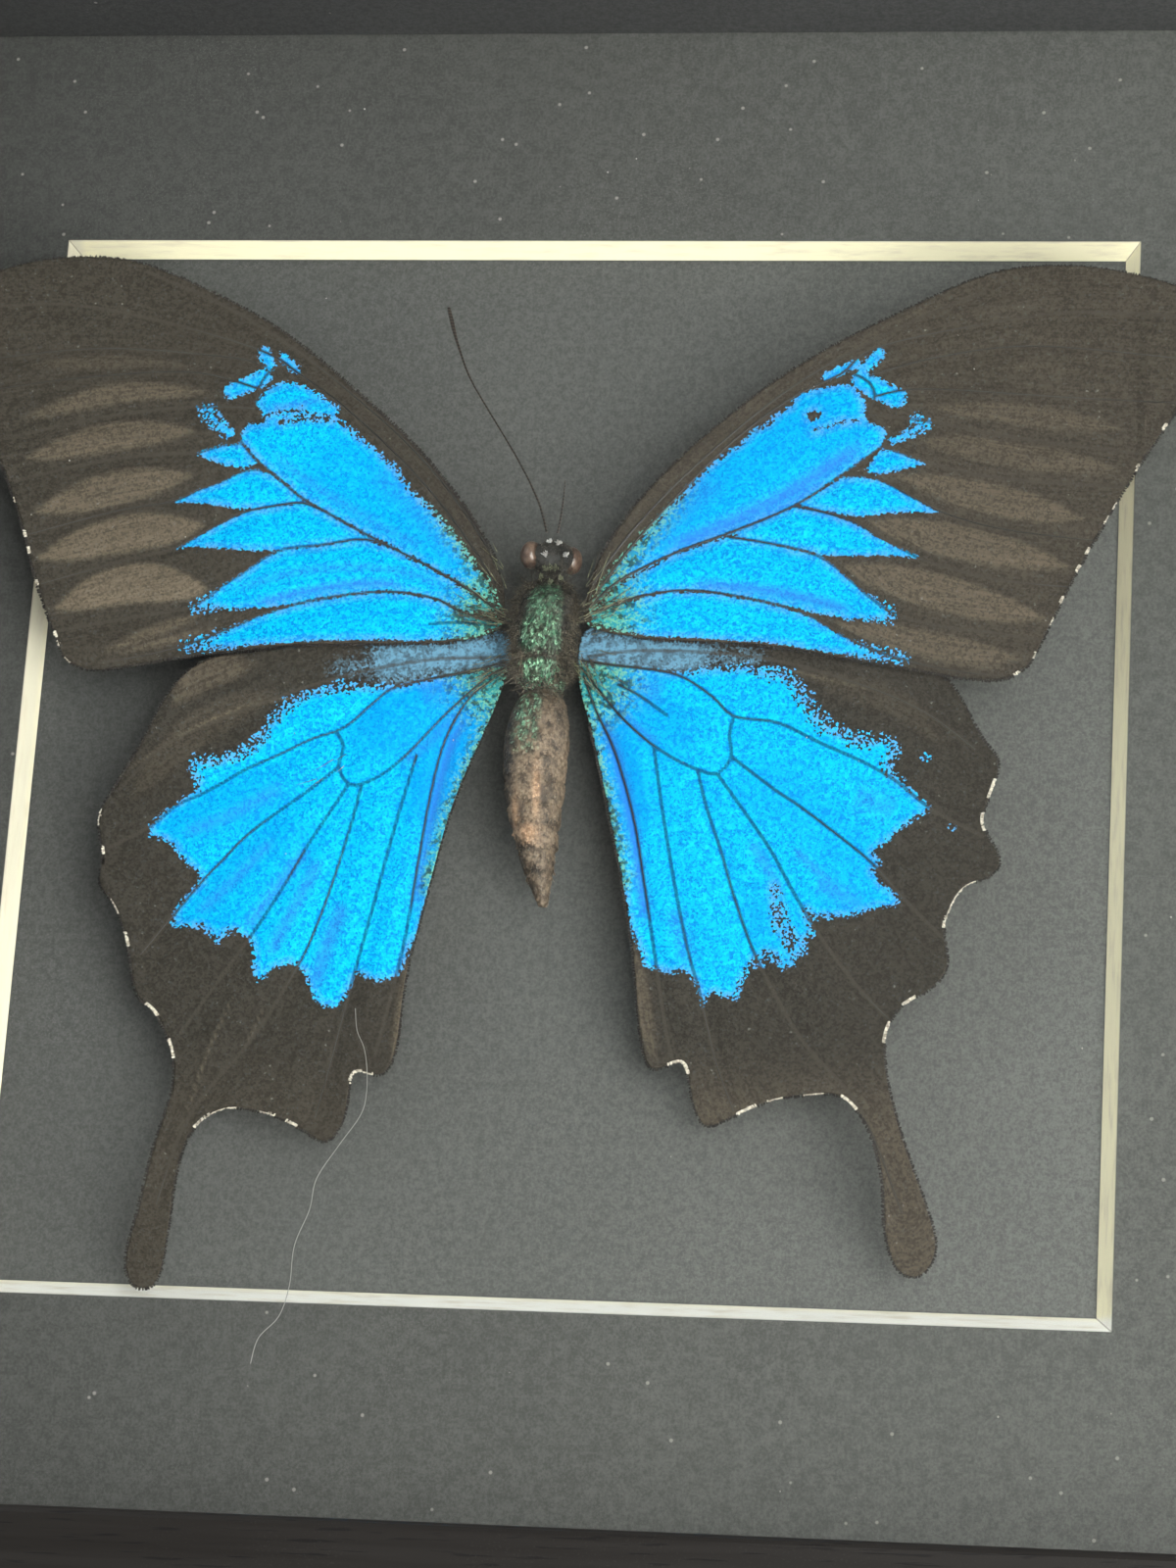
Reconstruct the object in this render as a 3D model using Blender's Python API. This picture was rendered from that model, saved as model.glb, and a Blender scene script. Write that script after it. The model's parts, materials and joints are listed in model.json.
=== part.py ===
"""Framed butterfly specimen: a small mitred shadow-box frame, a bevel-cut mat and a spread swallowtail.

The frame stands on its bottom edge. +Z is up, the glass faces -Y, and the origin is at the middle
of the frame's footprint. Lengths are in metres; outlines are in millimetres from the window centre.
"""

import math

import bmesh
import bpy
from mathutils import Vector

MM = 0.001
GAP = 0.3 * MM

# Frame
OUTER_HALF = 87.8 * MM
FRAME_DEPTH = 32.0 * MM
LIP_HALF = 71.8 * MM
RABBET_HALF = 76.2 * MM
LIP_THICKNESS = 3.6 * MM
RAIL_ROUNDING = 0.7 * MM

# What lies in the rabbet, from the front
GLASS_THICKNESS = 1.5 * MM
SPACER_DEPTH = 12.5 * MM
SPACER_WIDTH = 3.8 * MM
MAT_THICKNESS = 1.4 * MM
BACKING_THICKNESS = 1.5 * MM
PANEL_THICKNESS = 3.0 * MM

# Mat window
WINDOW_HALF = 50.8 * MM
SHEET_HALF = RABBET_HALF - GAP

# Fixings on the back
POINT_THICKNESS = 0.5 * MM
POINT_WIDTH = 9.0 * MM
POINT_LENGTH = 14.0 * MM
POINT_SPREAD = 42.0 * MM
HANGER_WIDTH = 44.0 * MM
HANGER_HEIGHT = 9.0 * MM
HANGER_THICKNESS = 0.7 * MM
HANGER_RISE = 1.5 * MM
HANGER_DROP = 58.0 * MM
HANGER_TEETH = 9
BRAD_RADIUS = 1.3 * MM

# Depth stations, worked out from the front face
FRONT_Y = -FRAME_DEPTH / 2
GLASS_Y = FRONT_Y + LIP_THICKNESS + GAP
SPACER_Y = GLASS_Y + GLASS_THICKNESS + GAP
MAT_Y = SPACER_Y + SPACER_DEPTH + GAP
BACKING_Y = MAT_Y + MAT_THICKNESS + GAP
PANEL_Y = BACKING_Y + BACKING_THICKNESS + GAP
PANEL_BACK_Y = PANEL_Y + PANEL_THICKNESS
BACK_Y = FRAME_DEPTH / 2
CENTRE_Z = OUTER_HALF

# Butterfly: heights are how far a piece stands in front of the mat's face
WING_THICKNESS = 0.3 * MM
BODY_X = -1.4
FOREWING_HEIGHT = 5.2
HINDWING_HEIGHT = 4.5
DIHEDRAL = 0.03
HIND_ROOT_Z = 8.0
RIGHT_HIND_DROOP = 0.012
LEFT_HIND_DROOP = 0.045

FOREWING_RIGHT = [
    (2.2, 13.2), (2.7, 16.1), (4.1, 19.0), (6.7, 23.0), (10.3, 27.1), (14.2, 30.8), (18.6, 34.5),
    (24.0, 38.0), (30.0, 41.2), (36.0, 44.1), (40.5, 45.2), (47.0, 45.1), (53.8, 43.4), (57.4, 41.4),
    (58.4, 39.0), (57.2, 35.8), (53.6, 29.8), (51.0, 25.5), (48.3, 20.4), (45.9, 15.6), (43.5, 10.2),
    (42.2, 7.4), (40.2, 5.9), (36.5, 5.9), (31.0, 6.9), (25.0, 7.9), (18.0, 9.0), (9.0, 9.4), (2.5, 10.6),
]
FOREWING_LEFT = [
    (-5.3, 12.2), (-5.7, 15.0), (-7.4, 18.7), (-10.8, 23.5), (-14.7, 27.9), (-19.1, 31.9), (-24.7, 36.6),
    (-30.0, 40.2), (-35.8, 43.1), (-41.5, 45.4), (-46.5, 46.0), (-52.0, 45.4), (-57.0, 43.6), (-60.2, 41.4),
    (-61.0, 39.2), (-59.6, 36.0), (-56.6, 31.2), (-53.4, 26.2), (-50.6, 19.8), (-48.6, 13.8), (-46.2, 8.5),
    (-45.0, 6.3), (-42.6, 5.4), (-39.0, 5.9), (-33.0, 7.1), (-25.0, 8.2), (-16.0, 8.6), (-10.0, 8.9),
    (-5.8, 10.1),
]
HINDWING_RIGHT = [
    (2.1, 8.6), (8.0, 9.3), (18.0, 9.0), (28.0, 8.0), (34.0, 6.6), (36.2, 4.1), (38.0, 0.8), (39.7, -1.6),
    (39.1, -4.4), (38.4, -7.2), (40.1, -10.4), (39.2, -12.0), (36.8, -13.2), (35.4, -16.6), (35.9, -20.0),
    (34.6, -22.1), (31.8, -24.0), (30.6, -27.0), (31.2, -31.2), (32.7, -36.0), (34.8, -41.4), (35.8, -45.0),
    (34.6, -47.4), (32.6, -46.9), (31.4, -43.5), (31.0, -39.0), (29.6, -34.6), (27.2, -31.9), (24.6, -31.8),
    (21.0, -32.4), (17.6, -34.0), (15.4, -34.8), (14.2, -32.6), (13.2, -29.1), (10.4, -29.9), (9.2, -26.4),
    (8.0, -18.0), (5.3, -6.5), (3.2, 1.2), (1.9, 5.2),
]
HINDWING_LEFT = [
    (-4.9, 8.3), (-12.0, 8.3), (-20.0, 8.2), (-28.0, 7.6), (-32.4, 6.8), (-35.4, 3.9), (-37.3, -0.4),
    (-39.6, -4.9), (-41.0, -8.2), (-40.3, -11.4), (-40.4, -14.3), (-38.8, -16.2), (-37.4, -19.6),
    (-36.3, -24.2), (-34.3, -25.9), (-32.5, -29.6), (-32.3, -33.0), (-33.6, -38.0), (-34.5, -43.5),
    (-35.3, -48.2), (-34.2, -50.4), (-32.4, -49.8), (-31.8, -45.6), (-31.4, -40.0), (-30.3, -36.3),
    (-27.4, -34.2), (-23.4, -34.6), (-20.4, -35.9), (-18.2, -36.9), (-16.8, -34.6), (-16.3, -30.6),
    (-13.8, -30.8), (-12.6, -28.4), (-12.2, -22.0), (-10.6, -13.6), (-8.9, -5.8), (-6.3, 1.4), (-5.1, 5.2),
]

# Rings along a body piece: (height on the sheet, sideways, out from the mat, half width, half depth)
THORAX_RINGS = [
    (15.0, -1.2, 5.2, 0.9, 0.8), (14.2, -1.2, 5.3, 1.9, 1.7), (12.4, -1.3, 5.3, 2.7, 2.8),
    (10.0, -1.4, 5.2, 2.95, 3.2), (7.6, -1.4, 5.1, 2.8, 3.0), (5.8, -1.4, 4.9, 2.3, 2.4),
    (4.7, -1.4, 4.8, 1.4, 1.4),
]
ABDOMEN_RINGS = [
    (4.3, -1.4, 4.7, 1.2, 1.2), (3.2, -1.45, 4.7, 2.05, 2.0), (0.6, -1.5, 4.6, 2.5, 2.4),
    (-2.6, -1.4, 4.5, 2.6, 2.55), (-5.6, -1.1, 4.4, 2.45, 2.4), (-8.4, -0.75, 4.2, 2.15, 2.1),
    (-11.0, -0.45, 3.9, 1.6, 1.6), (-13.0, -0.1, 3.7, 0.95, 1.0), (-14.8, 0.25, 3.5, 0.3, 0.35),
]
HEAD_CENTRE = (-1.2, 17.0, 5.6)
HEAD_RADII = (1.9, 1.55, 1.6)
EYE_SIDE = 1.55
EYE_RADII = (1.0, 1.3, 1.25)

ANTENNA_RADIUS = 0.14 * MM
ANTENNA_LEFT = [
    (-1.7, 19.2, 6.4, 1.0), (-2.6, 22.0, 6.8, 1.0), (-4.6, 25.8, 7.1, 1.0), (-7.4, 30.2, 7.3, 1.0),
    (-9.6, 33.8, 7.4, 1.0), (-11.0, 37.2, 7.4, 1.4), (-11.7, 39.4, 7.3, 2.4), (-12.1, 40.8, 7.2, 1.6),
]
ANTENNA_RIGHT = [
    (-0.7, 19.1, 6.4, 1.1), (-0.45, 20.6, 6.7, 1.0), (-0.3, 22.4, 6.9, 0.8), (-0.25, 24.0, 7.0, 0.4),
]

PAD_RADIUS = 1.9 * MM
PAD_HEIGHT_ON_SHEET = 9.8
PAD_TOP = 1.7

MATERIALS = {
    "rail": ((0.022, 0.017, 0.015), 0.42, 0.0),
    "glass": ((0.96, 0.98, 0.97), 0.03, 0.0),
    "liner": ((0.045, 0.045, 0.045), 0.85, 0.0),
    "mat": ((0.050, 0.051, 0.052), 0.90, 0.0),
    "backing": ((0.055, 0.056, 0.057), 0.92, 0.0),
    "hardboard": ((0.23, 0.13, 0.07), 0.75, 0.0),
    "steel": ((0.55, 0.55, 0.56), 0.35, 1.0),
    "cork": ((0.42, 0.27, 0.15), 0.90, 0.0),
    "wing": ((0.012, 0.30, 0.52), 0.55, 0.0),
    "body": ((0.09, 0.075, 0.045), 0.85, 0.0),
    "abdomen": ((0.27, 0.16, 0.09), 0.85, 0.0),
    "head": ((0.02, 0.017, 0.015), 0.60, 0.0),
    "antenna": ((0.012, 0.011, 0.010), 0.55, 0.0),
}


def clear_scene():
    for obj in list(bpy.data.objects):
        bpy.data.objects.remove(obj, do_unlink=True)


def make_material(name):
    colour, roughness, metallic = MATERIALS[name]
    material = bpy.data.materials.new(name)
    material.use_nodes = True
    shader = material.node_tree.nodes["Principled BSDF"]
    shader.inputs["Base Color"].default_value = (*colour, 1.0)
    shader.inputs["Roughness"].default_value = roughness
    shader.inputs["Metallic"].default_value = metallic
    if name == "glass":
        shader.inputs["Transmission Weight"].default_value = 1.0
    return material


def add_piece(name, data, material, parent):
    piece = bpy.data.objects.new(name, data)
    bpy.context.scene.collection.objects.link(piece)
    data.materials.append(material)
    piece.parent = parent
    return piece


def mesh_from(name, bm):
    bmesh.ops.recalc_face_normals(bm, faces=bm.faces)
    mesh = bpy.data.meshes.new(name)
    bm.to_mesh(mesh)
    bm.free()
    return mesh


def on_sheet(x, z, height):
    """A point given in millimetres on the mat's face, and how far in front of it."""
    return Vector((x * MM, MAT_Y - height * MM, CENTRE_Z + z * MM))


def box_mesh(name, low, high):
    bm = bmesh.new()
    bmesh.ops.create_cube(bm, size=1.0)
    for vertex in bm.verts:
        for axis in range(3):
            vertex.co[axis] = high[axis] if vertex.co[axis] > 0 else low[axis]
    return mesh_from(name, bm)


def extruded(name, outline, depth_of, thickness):
    """A plate of this outline, whose middle surface stands where depth_of says."""
    bm = bmesh.new()
    face = bm.faces.new([bm.verts.new((x, 0, z)) for x, z in outline])
    back = bmesh.ops.extrude_face_region(bm, geom=[face])["geom"]
    back_verts = {item for item in back if isinstance(item, bmesh.types.BMVert)}
    for vertex in bm.verts:
        side = 0.5 if vertex in back_verts else -0.5
        vertex.co.y = depth_of(vertex.co.x, vertex.co.z) + side * thickness
    return mesh_from(name, bm)


def smooth_closed(points, steps):
    """A closed Catmull-Rom curve through the points, as a list of points."""
    curve = []
    count = len(points)
    for i in range(count):
        before, start, end, after = (Vector(points[(i + k) % count]) for k in (-1, 0, 1, 2))
        for step in range(steps):
            t = step / steps
            curve.append(
                0.5 * (2 * start + (end - before) * t + (2 * before - 5 * start + 4 * end - after) * t**2
                       + (3 * start - before - 3 * end + after) * t**3)
            )
    return curve


# --- Frame ---

def rail_mesh():
    """The bottom rail: an L-shaped moulding with mitred ends, its back on the frame's centre line."""
    profile = [
        (LIP_HALF, FRONT_Y),
        (OUTER_HALF, FRONT_Y),
        (OUTER_HALF, BACK_Y),
        (RABBET_HALF, BACK_Y),
        (RABBET_HALF, FRONT_Y + LIP_THICKNESS),
        (LIP_HALF, FRONT_Y + LIP_THICKNESS),
    ]
    mitre_gap = 0.5 * GAP
    bm = bmesh.new()
    ends = []
    for side in (-1, 1):
        ends.append([bm.verts.new((side * (out - mitre_gap), y, -out)) for out, y in profile])
    bm.faces.new(ends[0])
    bm.faces.new(list(reversed(ends[1])))
    for i in range(len(profile)):
        j = (i + 1) % len(profile)
        bm.faces.new((ends[0][i], ends[1][i], ends[1][j], ends[0][j]))
    bmesh.ops.recalc_face_normals(bm, faces=bm.faces)
    long_edges = [e for e in bm.edges if abs(e.verts[0].co.x - e.verts[1].co.x) > LIP_HALF]
    rounded = [e for e in long_edges if e.verts[0].co.y in (e.verts[1].co.y, FRONT_Y, BACK_Y)]
    outside = [e for e in rounded if abs(e.verts[0].co.y) > BACK_Y - GAP]
    bmesh.ops.bevel(bm, geom=outside, offset=RAIL_ROUNDING, segments=3, profile=0.5, affect="EDGES")
    return mesh_from("rail", bm)


def build_rails(parent, material):
    mesh = rail_mesh()
    for name, quarter_turns in (("bottom", 0), ("right", 1), ("top", 2), ("left", 3)):
        rail = add_piece("frame_rail_" + name, mesh if not quarter_turns else mesh.copy(), material, parent)
        rail.data.materials[0] = material
        rail.location = (0, 0, CENTRE_Z)
        rail.rotation_euler = (0, -quarter_turns * math.pi / 2, 0)


def build_glazing(parent, material):
    half = SHEET_HALF
    low = (-half, GLASS_Y, CENTRE_Z - half)
    high = (half, GLASS_Y + GLASS_THICKNESS, CENTRE_Z + half)
    add_piece("glazing", box_mesh("glazing", low, high), material, parent)


def build_spacers(parent, material):
    """Four strips round the rabbet: top and bottom run full length, the sides fit between them."""
    out = SHEET_HALF
    inner = out - SPACER_WIDTH
    side_half = inner - GAP
    back = SPACER_Y + SPACER_DEPTH
    boxes = {
        "top": ((-out, SPACER_Y, inner), (out, back, out)),
        "bottom": ((-out, SPACER_Y, -out), (out, back, -inner)),
        "left": ((-out, SPACER_Y, -side_half), (-inner, back, side_half)),
        "right": ((inner, SPACER_Y, -side_half), (out, back, side_half)),
    }
    for side, (low, high) in boxes.items():
        spacer = add_piece("spacer_" + side, box_mesh("spacer", low, high), material, parent)
        spacer.location = (0, 0, CENTRE_Z)


def build_mat(parent, material):
    """A square board with a square window whose sides are cut at 45 degrees, widest at the face."""
    bm = bmesh.new()
    loops = []
    for half, y in (
        (SHEET_HALF, MAT_Y),
        (WINDOW_HALF, MAT_Y),
        (WINDOW_HALF - MAT_THICKNESS, MAT_Y + MAT_THICKNESS),
        (SHEET_HALF, MAT_Y + MAT_THICKNESS),
    ):
        corners = ((-1, -1), (1, -1), (1, 1), (-1, 1))
        loops.append([bm.verts.new((sx * half, y, CENTRE_Z + sz * half)) for sx, sz in corners])
    for ring in range(4):
        here, there = loops[ring], loops[(ring + 1) % 4]
        for i in range(4):
            j = (i + 1) % 4
            bm.faces.new((here[i], here[j], there[j], there[i]))
    add_piece("mat_board", mesh_from("mat_board", bm), material, parent)


def build_back(parent, backing, hardboard):
    half = SHEET_HALF
    for name, y, thickness, material in (
        ("backing_board", BACKING_Y, BACKING_THICKNESS, backing),
        ("back_panel", PANEL_Y, PANEL_THICKNESS, hardboard),
    ):
        low = (-half, y, CENTRE_Z - half)
        high = (half, y + thickness, CENTRE_Z + half)
        add_piece(name, box_mesh(name, low, high), material, parent)


def build_points(parent, material):
    """Two flat steel points on each side hold the back panel in; each is an arrow-shaped tab."""
    tip = RABBET_HALF - GAP
    root = tip - POINT_LENGTH
    half = POINT_WIDTH / 2
    outline = [
        (-0.35 * half, -tip), (0.35 * half, -tip), (half, -tip + 0.45 * POINT_LENGTH),
        (0.7 * half, -root), (-0.7 * half, -root), (-half, -tip + 0.45 * POINT_LENGTH),
    ]
    middle_y = PANEL_BACK_Y + GAP + POINT_THICKNESS / 2
    mesh = extruded("frame_point", outline, lambda x, z: middle_y, POINT_THICKNESS)
    for quarter, side in enumerate(("bottom", "right", "top", "left")):
        turn = -quarter * math.pi / 2
        for number, shift in ((1, -POINT_SPREAD), (2, POINT_SPREAD)):
            data = mesh if (quarter, number) == (0, 1) else mesh.copy()
            point = add_piece(f"frame_point_{side}_{number}", data, material, parent)
            point.data.materials[0] = material
            point.rotation_euler = (0, turn, 0)
            point.location = Vector((shift * math.cos(turn), 0, CENTRE_Z - shift * math.sin(turn)))


def build_hanger(parent, material):
    """A sawtooth hanger: a steel strip with teeth along its lower edge, raised between its ends."""
    half_width = HANGER_WIDTH / 2
    half_height = HANGER_HEIGHT / 2
    foot = 8.0 * MM
    pitch = (HANGER_WIDTH - 2 * foot - 4 * MM) / HANGER_TEETH
    tooth = 1.6 * MM
    raised = half_width - foot - 2 * MM
    outline = [(half_width, -half_height), (half_width, half_height), (half_width - foot, half_height)]
    outline += [(raised, half_height), (-raised, half_height), (-half_width + foot, half_height)]
    outline += [(-half_width, half_height), (-half_width, -half_height), (-half_width + foot, -half_height)]
    for i in range(HANGER_TEETH):
        left = -raised + i * pitch
        outline += [(left, -half_height), (left + pitch / 2, -half_height + tooth)]
    outline += [(raised, -half_height), (half_width - foot, -half_height)]
    base_y = PANEL_BACK_Y + GAP + HANGER_THICKNESS / 2

    def depth(x, z):
        return base_y + (HANGER_RISE if abs(x) < raised + 0.1 * MM else 0)

    mesh = extruded("sawtooth_hanger", outline, depth, HANGER_THICKNESS)
    hanger = add_piece("sawtooth_hanger", mesh, material, parent)
    hanger.location = (0, 0, CENTRE_Z + HANGER_DROP)
    for side, name in ((-1, "left"), (1, "right")):
        bm = bmesh.new()
        bmesh.ops.create_uvsphere(bm, u_segments=12, v_segments=6, radius=BRAD_RADIUS)
        flat = [v for v in bm.verts if v.co.z < -1e-6]
        bmesh.ops.delete(bm, geom=flat, context="VERTS")
        rim = [e for e in bm.edges if e.is_boundary]
        bmesh.ops.contextual_create(bm, geom=rim)
        brad = add_piece("hanger_brad_" + name, mesh_from("brad", bm), material, parent)
        brad.data.shade_smooth()
        brad.scale = (1, 1, 0.6)
        brad.rotation_euler = (-math.pi / 2, 0, 0)
        brad_y = base_y + HANGER_THICKNESS / 2 + GAP
        brad.location = (side * (half_width - foot / 2), brad_y, CENTRE_Z + HANGER_DROP)


# --- Butterfly ---

def wing_depth(height, droop):
    """How deep a wing's middle surface lies: it rises away from the body and droops towards its tail."""
    def depth(x, z):
        out = abs(x / MM - BODY_X)
        down = HIND_ROOT_Z - (z - CENTRE_Z) / MM
        return MAT_Y - (height + DIHEDRAL * out - droop * max(down, 0)) * MM
    return depth


def build_wing(name, points, steps, height, droop, parent, material):
    outline = [(p.x * MM, CENTRE_Z + p.y * MM) for p in smooth_closed(points, steps)]
    mesh = extruded(name, outline, wing_depth(height, droop), WING_THICKNESS)
    add_piece(name, mesh, material, parent)


def ring_solid(name, rings, sides, parent, material):
    """A rounded solid through elliptical rings, closed by a point at each end."""
    bm = bmesh.new()
    loops = []
    for z, x, height, half_width, half_depth in rings:
        loop = []
        for i in range(sides):
            angle = math.tau * i / sides
            across = x + half_width * math.cos(angle)
            loop.append(bm.verts.new(on_sheet(across, z, height + half_depth * math.sin(angle))))
        loops.append(loop)
    for here, there in zip(loops, loops[1:]):
        for i in range(sides):
            j = (i + 1) % sides
            bm.faces.new((here[i], here[j], there[j], there[i]))
    bm.faces.new(loops[0])
    bm.faces.new(loops[-1])
    piece = add_piece(name, mesh_from(name, bm), material, parent)
    piece.data.shade_smooth()
    piece.data.set_sharp_from_angle(angle=math.radians(60))


def ball(name, centre, radii, segments, rings):
    bm = bmesh.new()
    bmesh.ops.create_uvsphere(bm, u_segments=segments, v_segments=rings, radius=1.0)
    for vertex in bm.verts:
        x, y, z = vertex.co
        place = on_sheet(centre[0] + x * radii[0], centre[1] + z * radii[1], centre[2] - y * radii[2])
        vertex.co = place
    return mesh_from(name, bm)


def build_head(parent, material):
    """A rounded head with a large eye on each side, in one solid."""
    head = add_piece("head", ball("head", HEAD_CENTRE, HEAD_RADII, 16, 10), material, parent)
    head.data.shade_smooth()
    x, z, height = HEAD_CENTRE
    for side in (-1, 1):
        centre = (x + side * EYE_SIDE, z + 0.1, height)
        eye = add_piece(f"eye_cutter_{side}", ball("eye", centre, EYE_RADII, 12, 8), material, parent)
        eye.hide_render = True
        eye.display_type = "WIRE"
        union = head.modifiers.new("Eye", "BOOLEAN")
        union.operation = "UNION"
        union.object = eye
        union.solver = "EXACT"


def build_antenna(name, points, parent, material):
    curve = bpy.data.curves.new(name, "CURVE")
    curve.dimensions = "3D"
    curve.bevel_depth = ANTENNA_RADIUS
    curve.bevel_resolution = 1
    curve.use_fill_caps = True
    curve.resolution_u = 2
    spline = curve.splines.new("BEZIER")
    spline.bezier_points.add(len(points) - 1)
    for knot, (x, z, height, thickness) in zip(spline.bezier_points, points):
        knot.co = on_sheet(x, z, height)
        knot.radius = thickness
        knot.handle_left_type = "AUTO"
        knot.handle_right_type = "AUTO"
    add_piece(name, curve, material, parent)


def build_pad(parent, material):
    """A short round cork plug between the backing board and the underside of the thorax."""
    back = BACKING_Y - GAP
    front = MAT_Y - PAD_TOP * MM
    bm = bmesh.new()
    bmesh.ops.create_cone(bm, cap_ends=True, segments=16, radius1=PAD_RADIUS, radius2=PAD_RADIUS, depth=back - front)
    pad = add_piece("mounting_pad", mesh_from("mounting_pad", bm), material, parent)
    pad.rotation_euler = (math.pi / 2, 0, 0)
    pad.location = (BODY_X * MM, (back + front) / 2, CENTRE_Z + PAD_HEIGHT_ON_SHEET * MM)
    pad.data.shade_smooth()
    pad.data.set_sharp_from_angle(angle=math.radians(40))


def main():
    clear_scene()
    colours = {name: make_material(name) for name in MATERIALS}
    root = bpy.data.objects.new("framed_butterfly", None)
    bpy.context.scene.collection.objects.link(root)

    build_rails(root, colours["rail"])
    build_glazing(root, colours["glass"])
    build_spacers(root, colours["liner"])
    build_mat(root, colours["mat"])
    build_back(root, colours["backing"], colours["hardboard"])
    build_points(root, colours["steel"])
    build_hanger(root, colours["steel"])

    wing = colours["wing"]
    build_wing("forewing_left", FOREWING_LEFT, 3, FOREWING_HEIGHT, 0, root, wing)
    build_wing("forewing_right", FOREWING_RIGHT, 3, FOREWING_HEIGHT, 0, root, wing)
    build_wing("hindwing_left", HINDWING_LEFT, 3, HINDWING_HEIGHT, LEFT_HIND_DROOP, root, wing)
    build_wing("hindwing_right", HINDWING_RIGHT, 3, HINDWING_HEIGHT, RIGHT_HIND_DROOP, root, wing)
    ring_solid("thorax", THORAX_RINGS, 16, root, colours["body"])
    ring_solid("abdomen", ABDOMEN_RINGS, 14, root, colours["abdomen"])
    build_head(root, colours["head"])
    build_antenna("antenna_left", ANTENNA_LEFT, root, colours["antenna"])
    build_antenna("antenna_right", ANTENNA_RIGHT, root, colours["antenna"])
    build_pad(root, colours["cork"])


main()
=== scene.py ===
import json
import math

import bpy
import numpy as np
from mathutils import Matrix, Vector

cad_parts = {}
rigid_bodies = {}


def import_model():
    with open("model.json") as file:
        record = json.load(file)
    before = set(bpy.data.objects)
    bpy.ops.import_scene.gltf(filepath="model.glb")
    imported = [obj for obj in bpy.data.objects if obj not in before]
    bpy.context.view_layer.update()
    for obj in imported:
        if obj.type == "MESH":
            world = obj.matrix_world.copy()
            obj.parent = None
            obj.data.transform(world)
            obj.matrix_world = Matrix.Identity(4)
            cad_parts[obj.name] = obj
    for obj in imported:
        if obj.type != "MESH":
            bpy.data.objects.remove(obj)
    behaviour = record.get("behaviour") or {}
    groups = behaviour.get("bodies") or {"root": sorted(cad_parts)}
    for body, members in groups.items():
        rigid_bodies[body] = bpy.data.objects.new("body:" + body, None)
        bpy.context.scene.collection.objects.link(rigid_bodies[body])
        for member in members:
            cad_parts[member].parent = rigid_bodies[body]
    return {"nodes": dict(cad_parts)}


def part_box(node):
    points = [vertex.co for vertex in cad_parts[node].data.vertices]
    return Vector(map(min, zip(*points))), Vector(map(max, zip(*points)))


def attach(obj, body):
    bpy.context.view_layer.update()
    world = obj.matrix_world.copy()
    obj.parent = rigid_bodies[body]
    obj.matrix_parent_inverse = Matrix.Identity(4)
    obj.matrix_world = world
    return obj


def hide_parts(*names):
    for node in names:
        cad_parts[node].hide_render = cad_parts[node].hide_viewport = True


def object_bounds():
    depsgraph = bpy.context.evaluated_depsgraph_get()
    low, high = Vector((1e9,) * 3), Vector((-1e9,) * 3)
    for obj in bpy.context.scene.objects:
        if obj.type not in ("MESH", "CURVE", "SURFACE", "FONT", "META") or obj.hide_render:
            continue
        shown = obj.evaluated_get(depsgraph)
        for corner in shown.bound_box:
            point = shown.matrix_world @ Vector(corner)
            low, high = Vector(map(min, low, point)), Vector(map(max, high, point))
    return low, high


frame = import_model()
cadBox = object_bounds()
print("frame loaded:", len(frame["nodes"]), "CAD nodes")

mm = 0.001
matLow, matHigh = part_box("mat_board")
matFace = matLow.y
middleZ = (matLow.z + matHigh.z) / 2
toFront, toTop = (0.0, -1.0, 0.0), (0.0, 0.0, 1.0)
dice = np.random.default_rng(41)


# small helpers for objects

def deselectAll():
    if bpy.context.mode != "OBJECT":
        bpy.ops.object.mode_set(mode="OBJECT")
    bpy.ops.object.select_all(action="DESELECT")


def workOn(piece):
    deselectAll()
    piece.select_set(True)
    bpy.context.view_layer.objects.active = piece


def newest(name):
    piece = bpy.context.view_layer.objects.active
    piece.name = name
    piece.data.name = name
    return piece


def settle(piece):
    workOn(piece)
    bpy.ops.object.transform_apply(location=True, rotation=True, scale=True)
    return piece


def startEdit():
    bpy.ops.object.mode_set(mode="EDIT")
    bpy.ops.mesh.select_all(action="SELECT")


def endEdit():
    bpy.ops.object.mode_set(mode="OBJECT")


def cutAcross(heights):
    # level cuts through the whole piece
    startEdit()
    for height in heights:
        bpy.ops.mesh.select_all(action="SELECT")
        bpy.ops.mesh.bisect(plane_co=(0, 0, height), plane_no=(0, 0, 1))
    endEdit()


def applyAll(piece):
    workOn(piece)
    for modifier in list(piece.modifiers):
        bpy.ops.object.modifier_apply(modifier=modifier.name)
    return piece


def onMat(x, z, lift):
    # millimetres from the window's middle, and out from the mat's face
    return Vector((x * mm, matFace - lift * mm, middleZ + z * mm))


def manyOnMat(x, z, lift):
    return np.column_stack((x * mm, matFace - lift * mm, z * mm + middleZ))


def flatOf(points):
    # back from metres to millimetres across the mat
    return np.column_stack((points[:, 0], points[:, 2] - middleZ)) / mm


def pointsOf(piece):
    flat = np.zeros(len(piece.data.vertices) * 3)
    piece.data.vertices.foreach_get("co", flat)
    return flat.reshape(-1, 3)


def movePoints(piece, points):
    piece.data.vertices.foreach_set("co", np.ascontiguousarray(points, float).ravel())
    piece.data.update()


def sortFaces(piece):
    # some steps hand their faces over in another order each run, and hairs planted by face need the same one
    points, faces = pointsOf(piece), []
    for face in piece.data.polygons:
        ring = list(face.vertices)
        first = ring.index(min(ring))
        faces.append(ring[first:] + ring[:first])
    piece.data.clear_geometry()
    piece.data.from_pydata(points.tolist(), [], sorted(faces))


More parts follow.
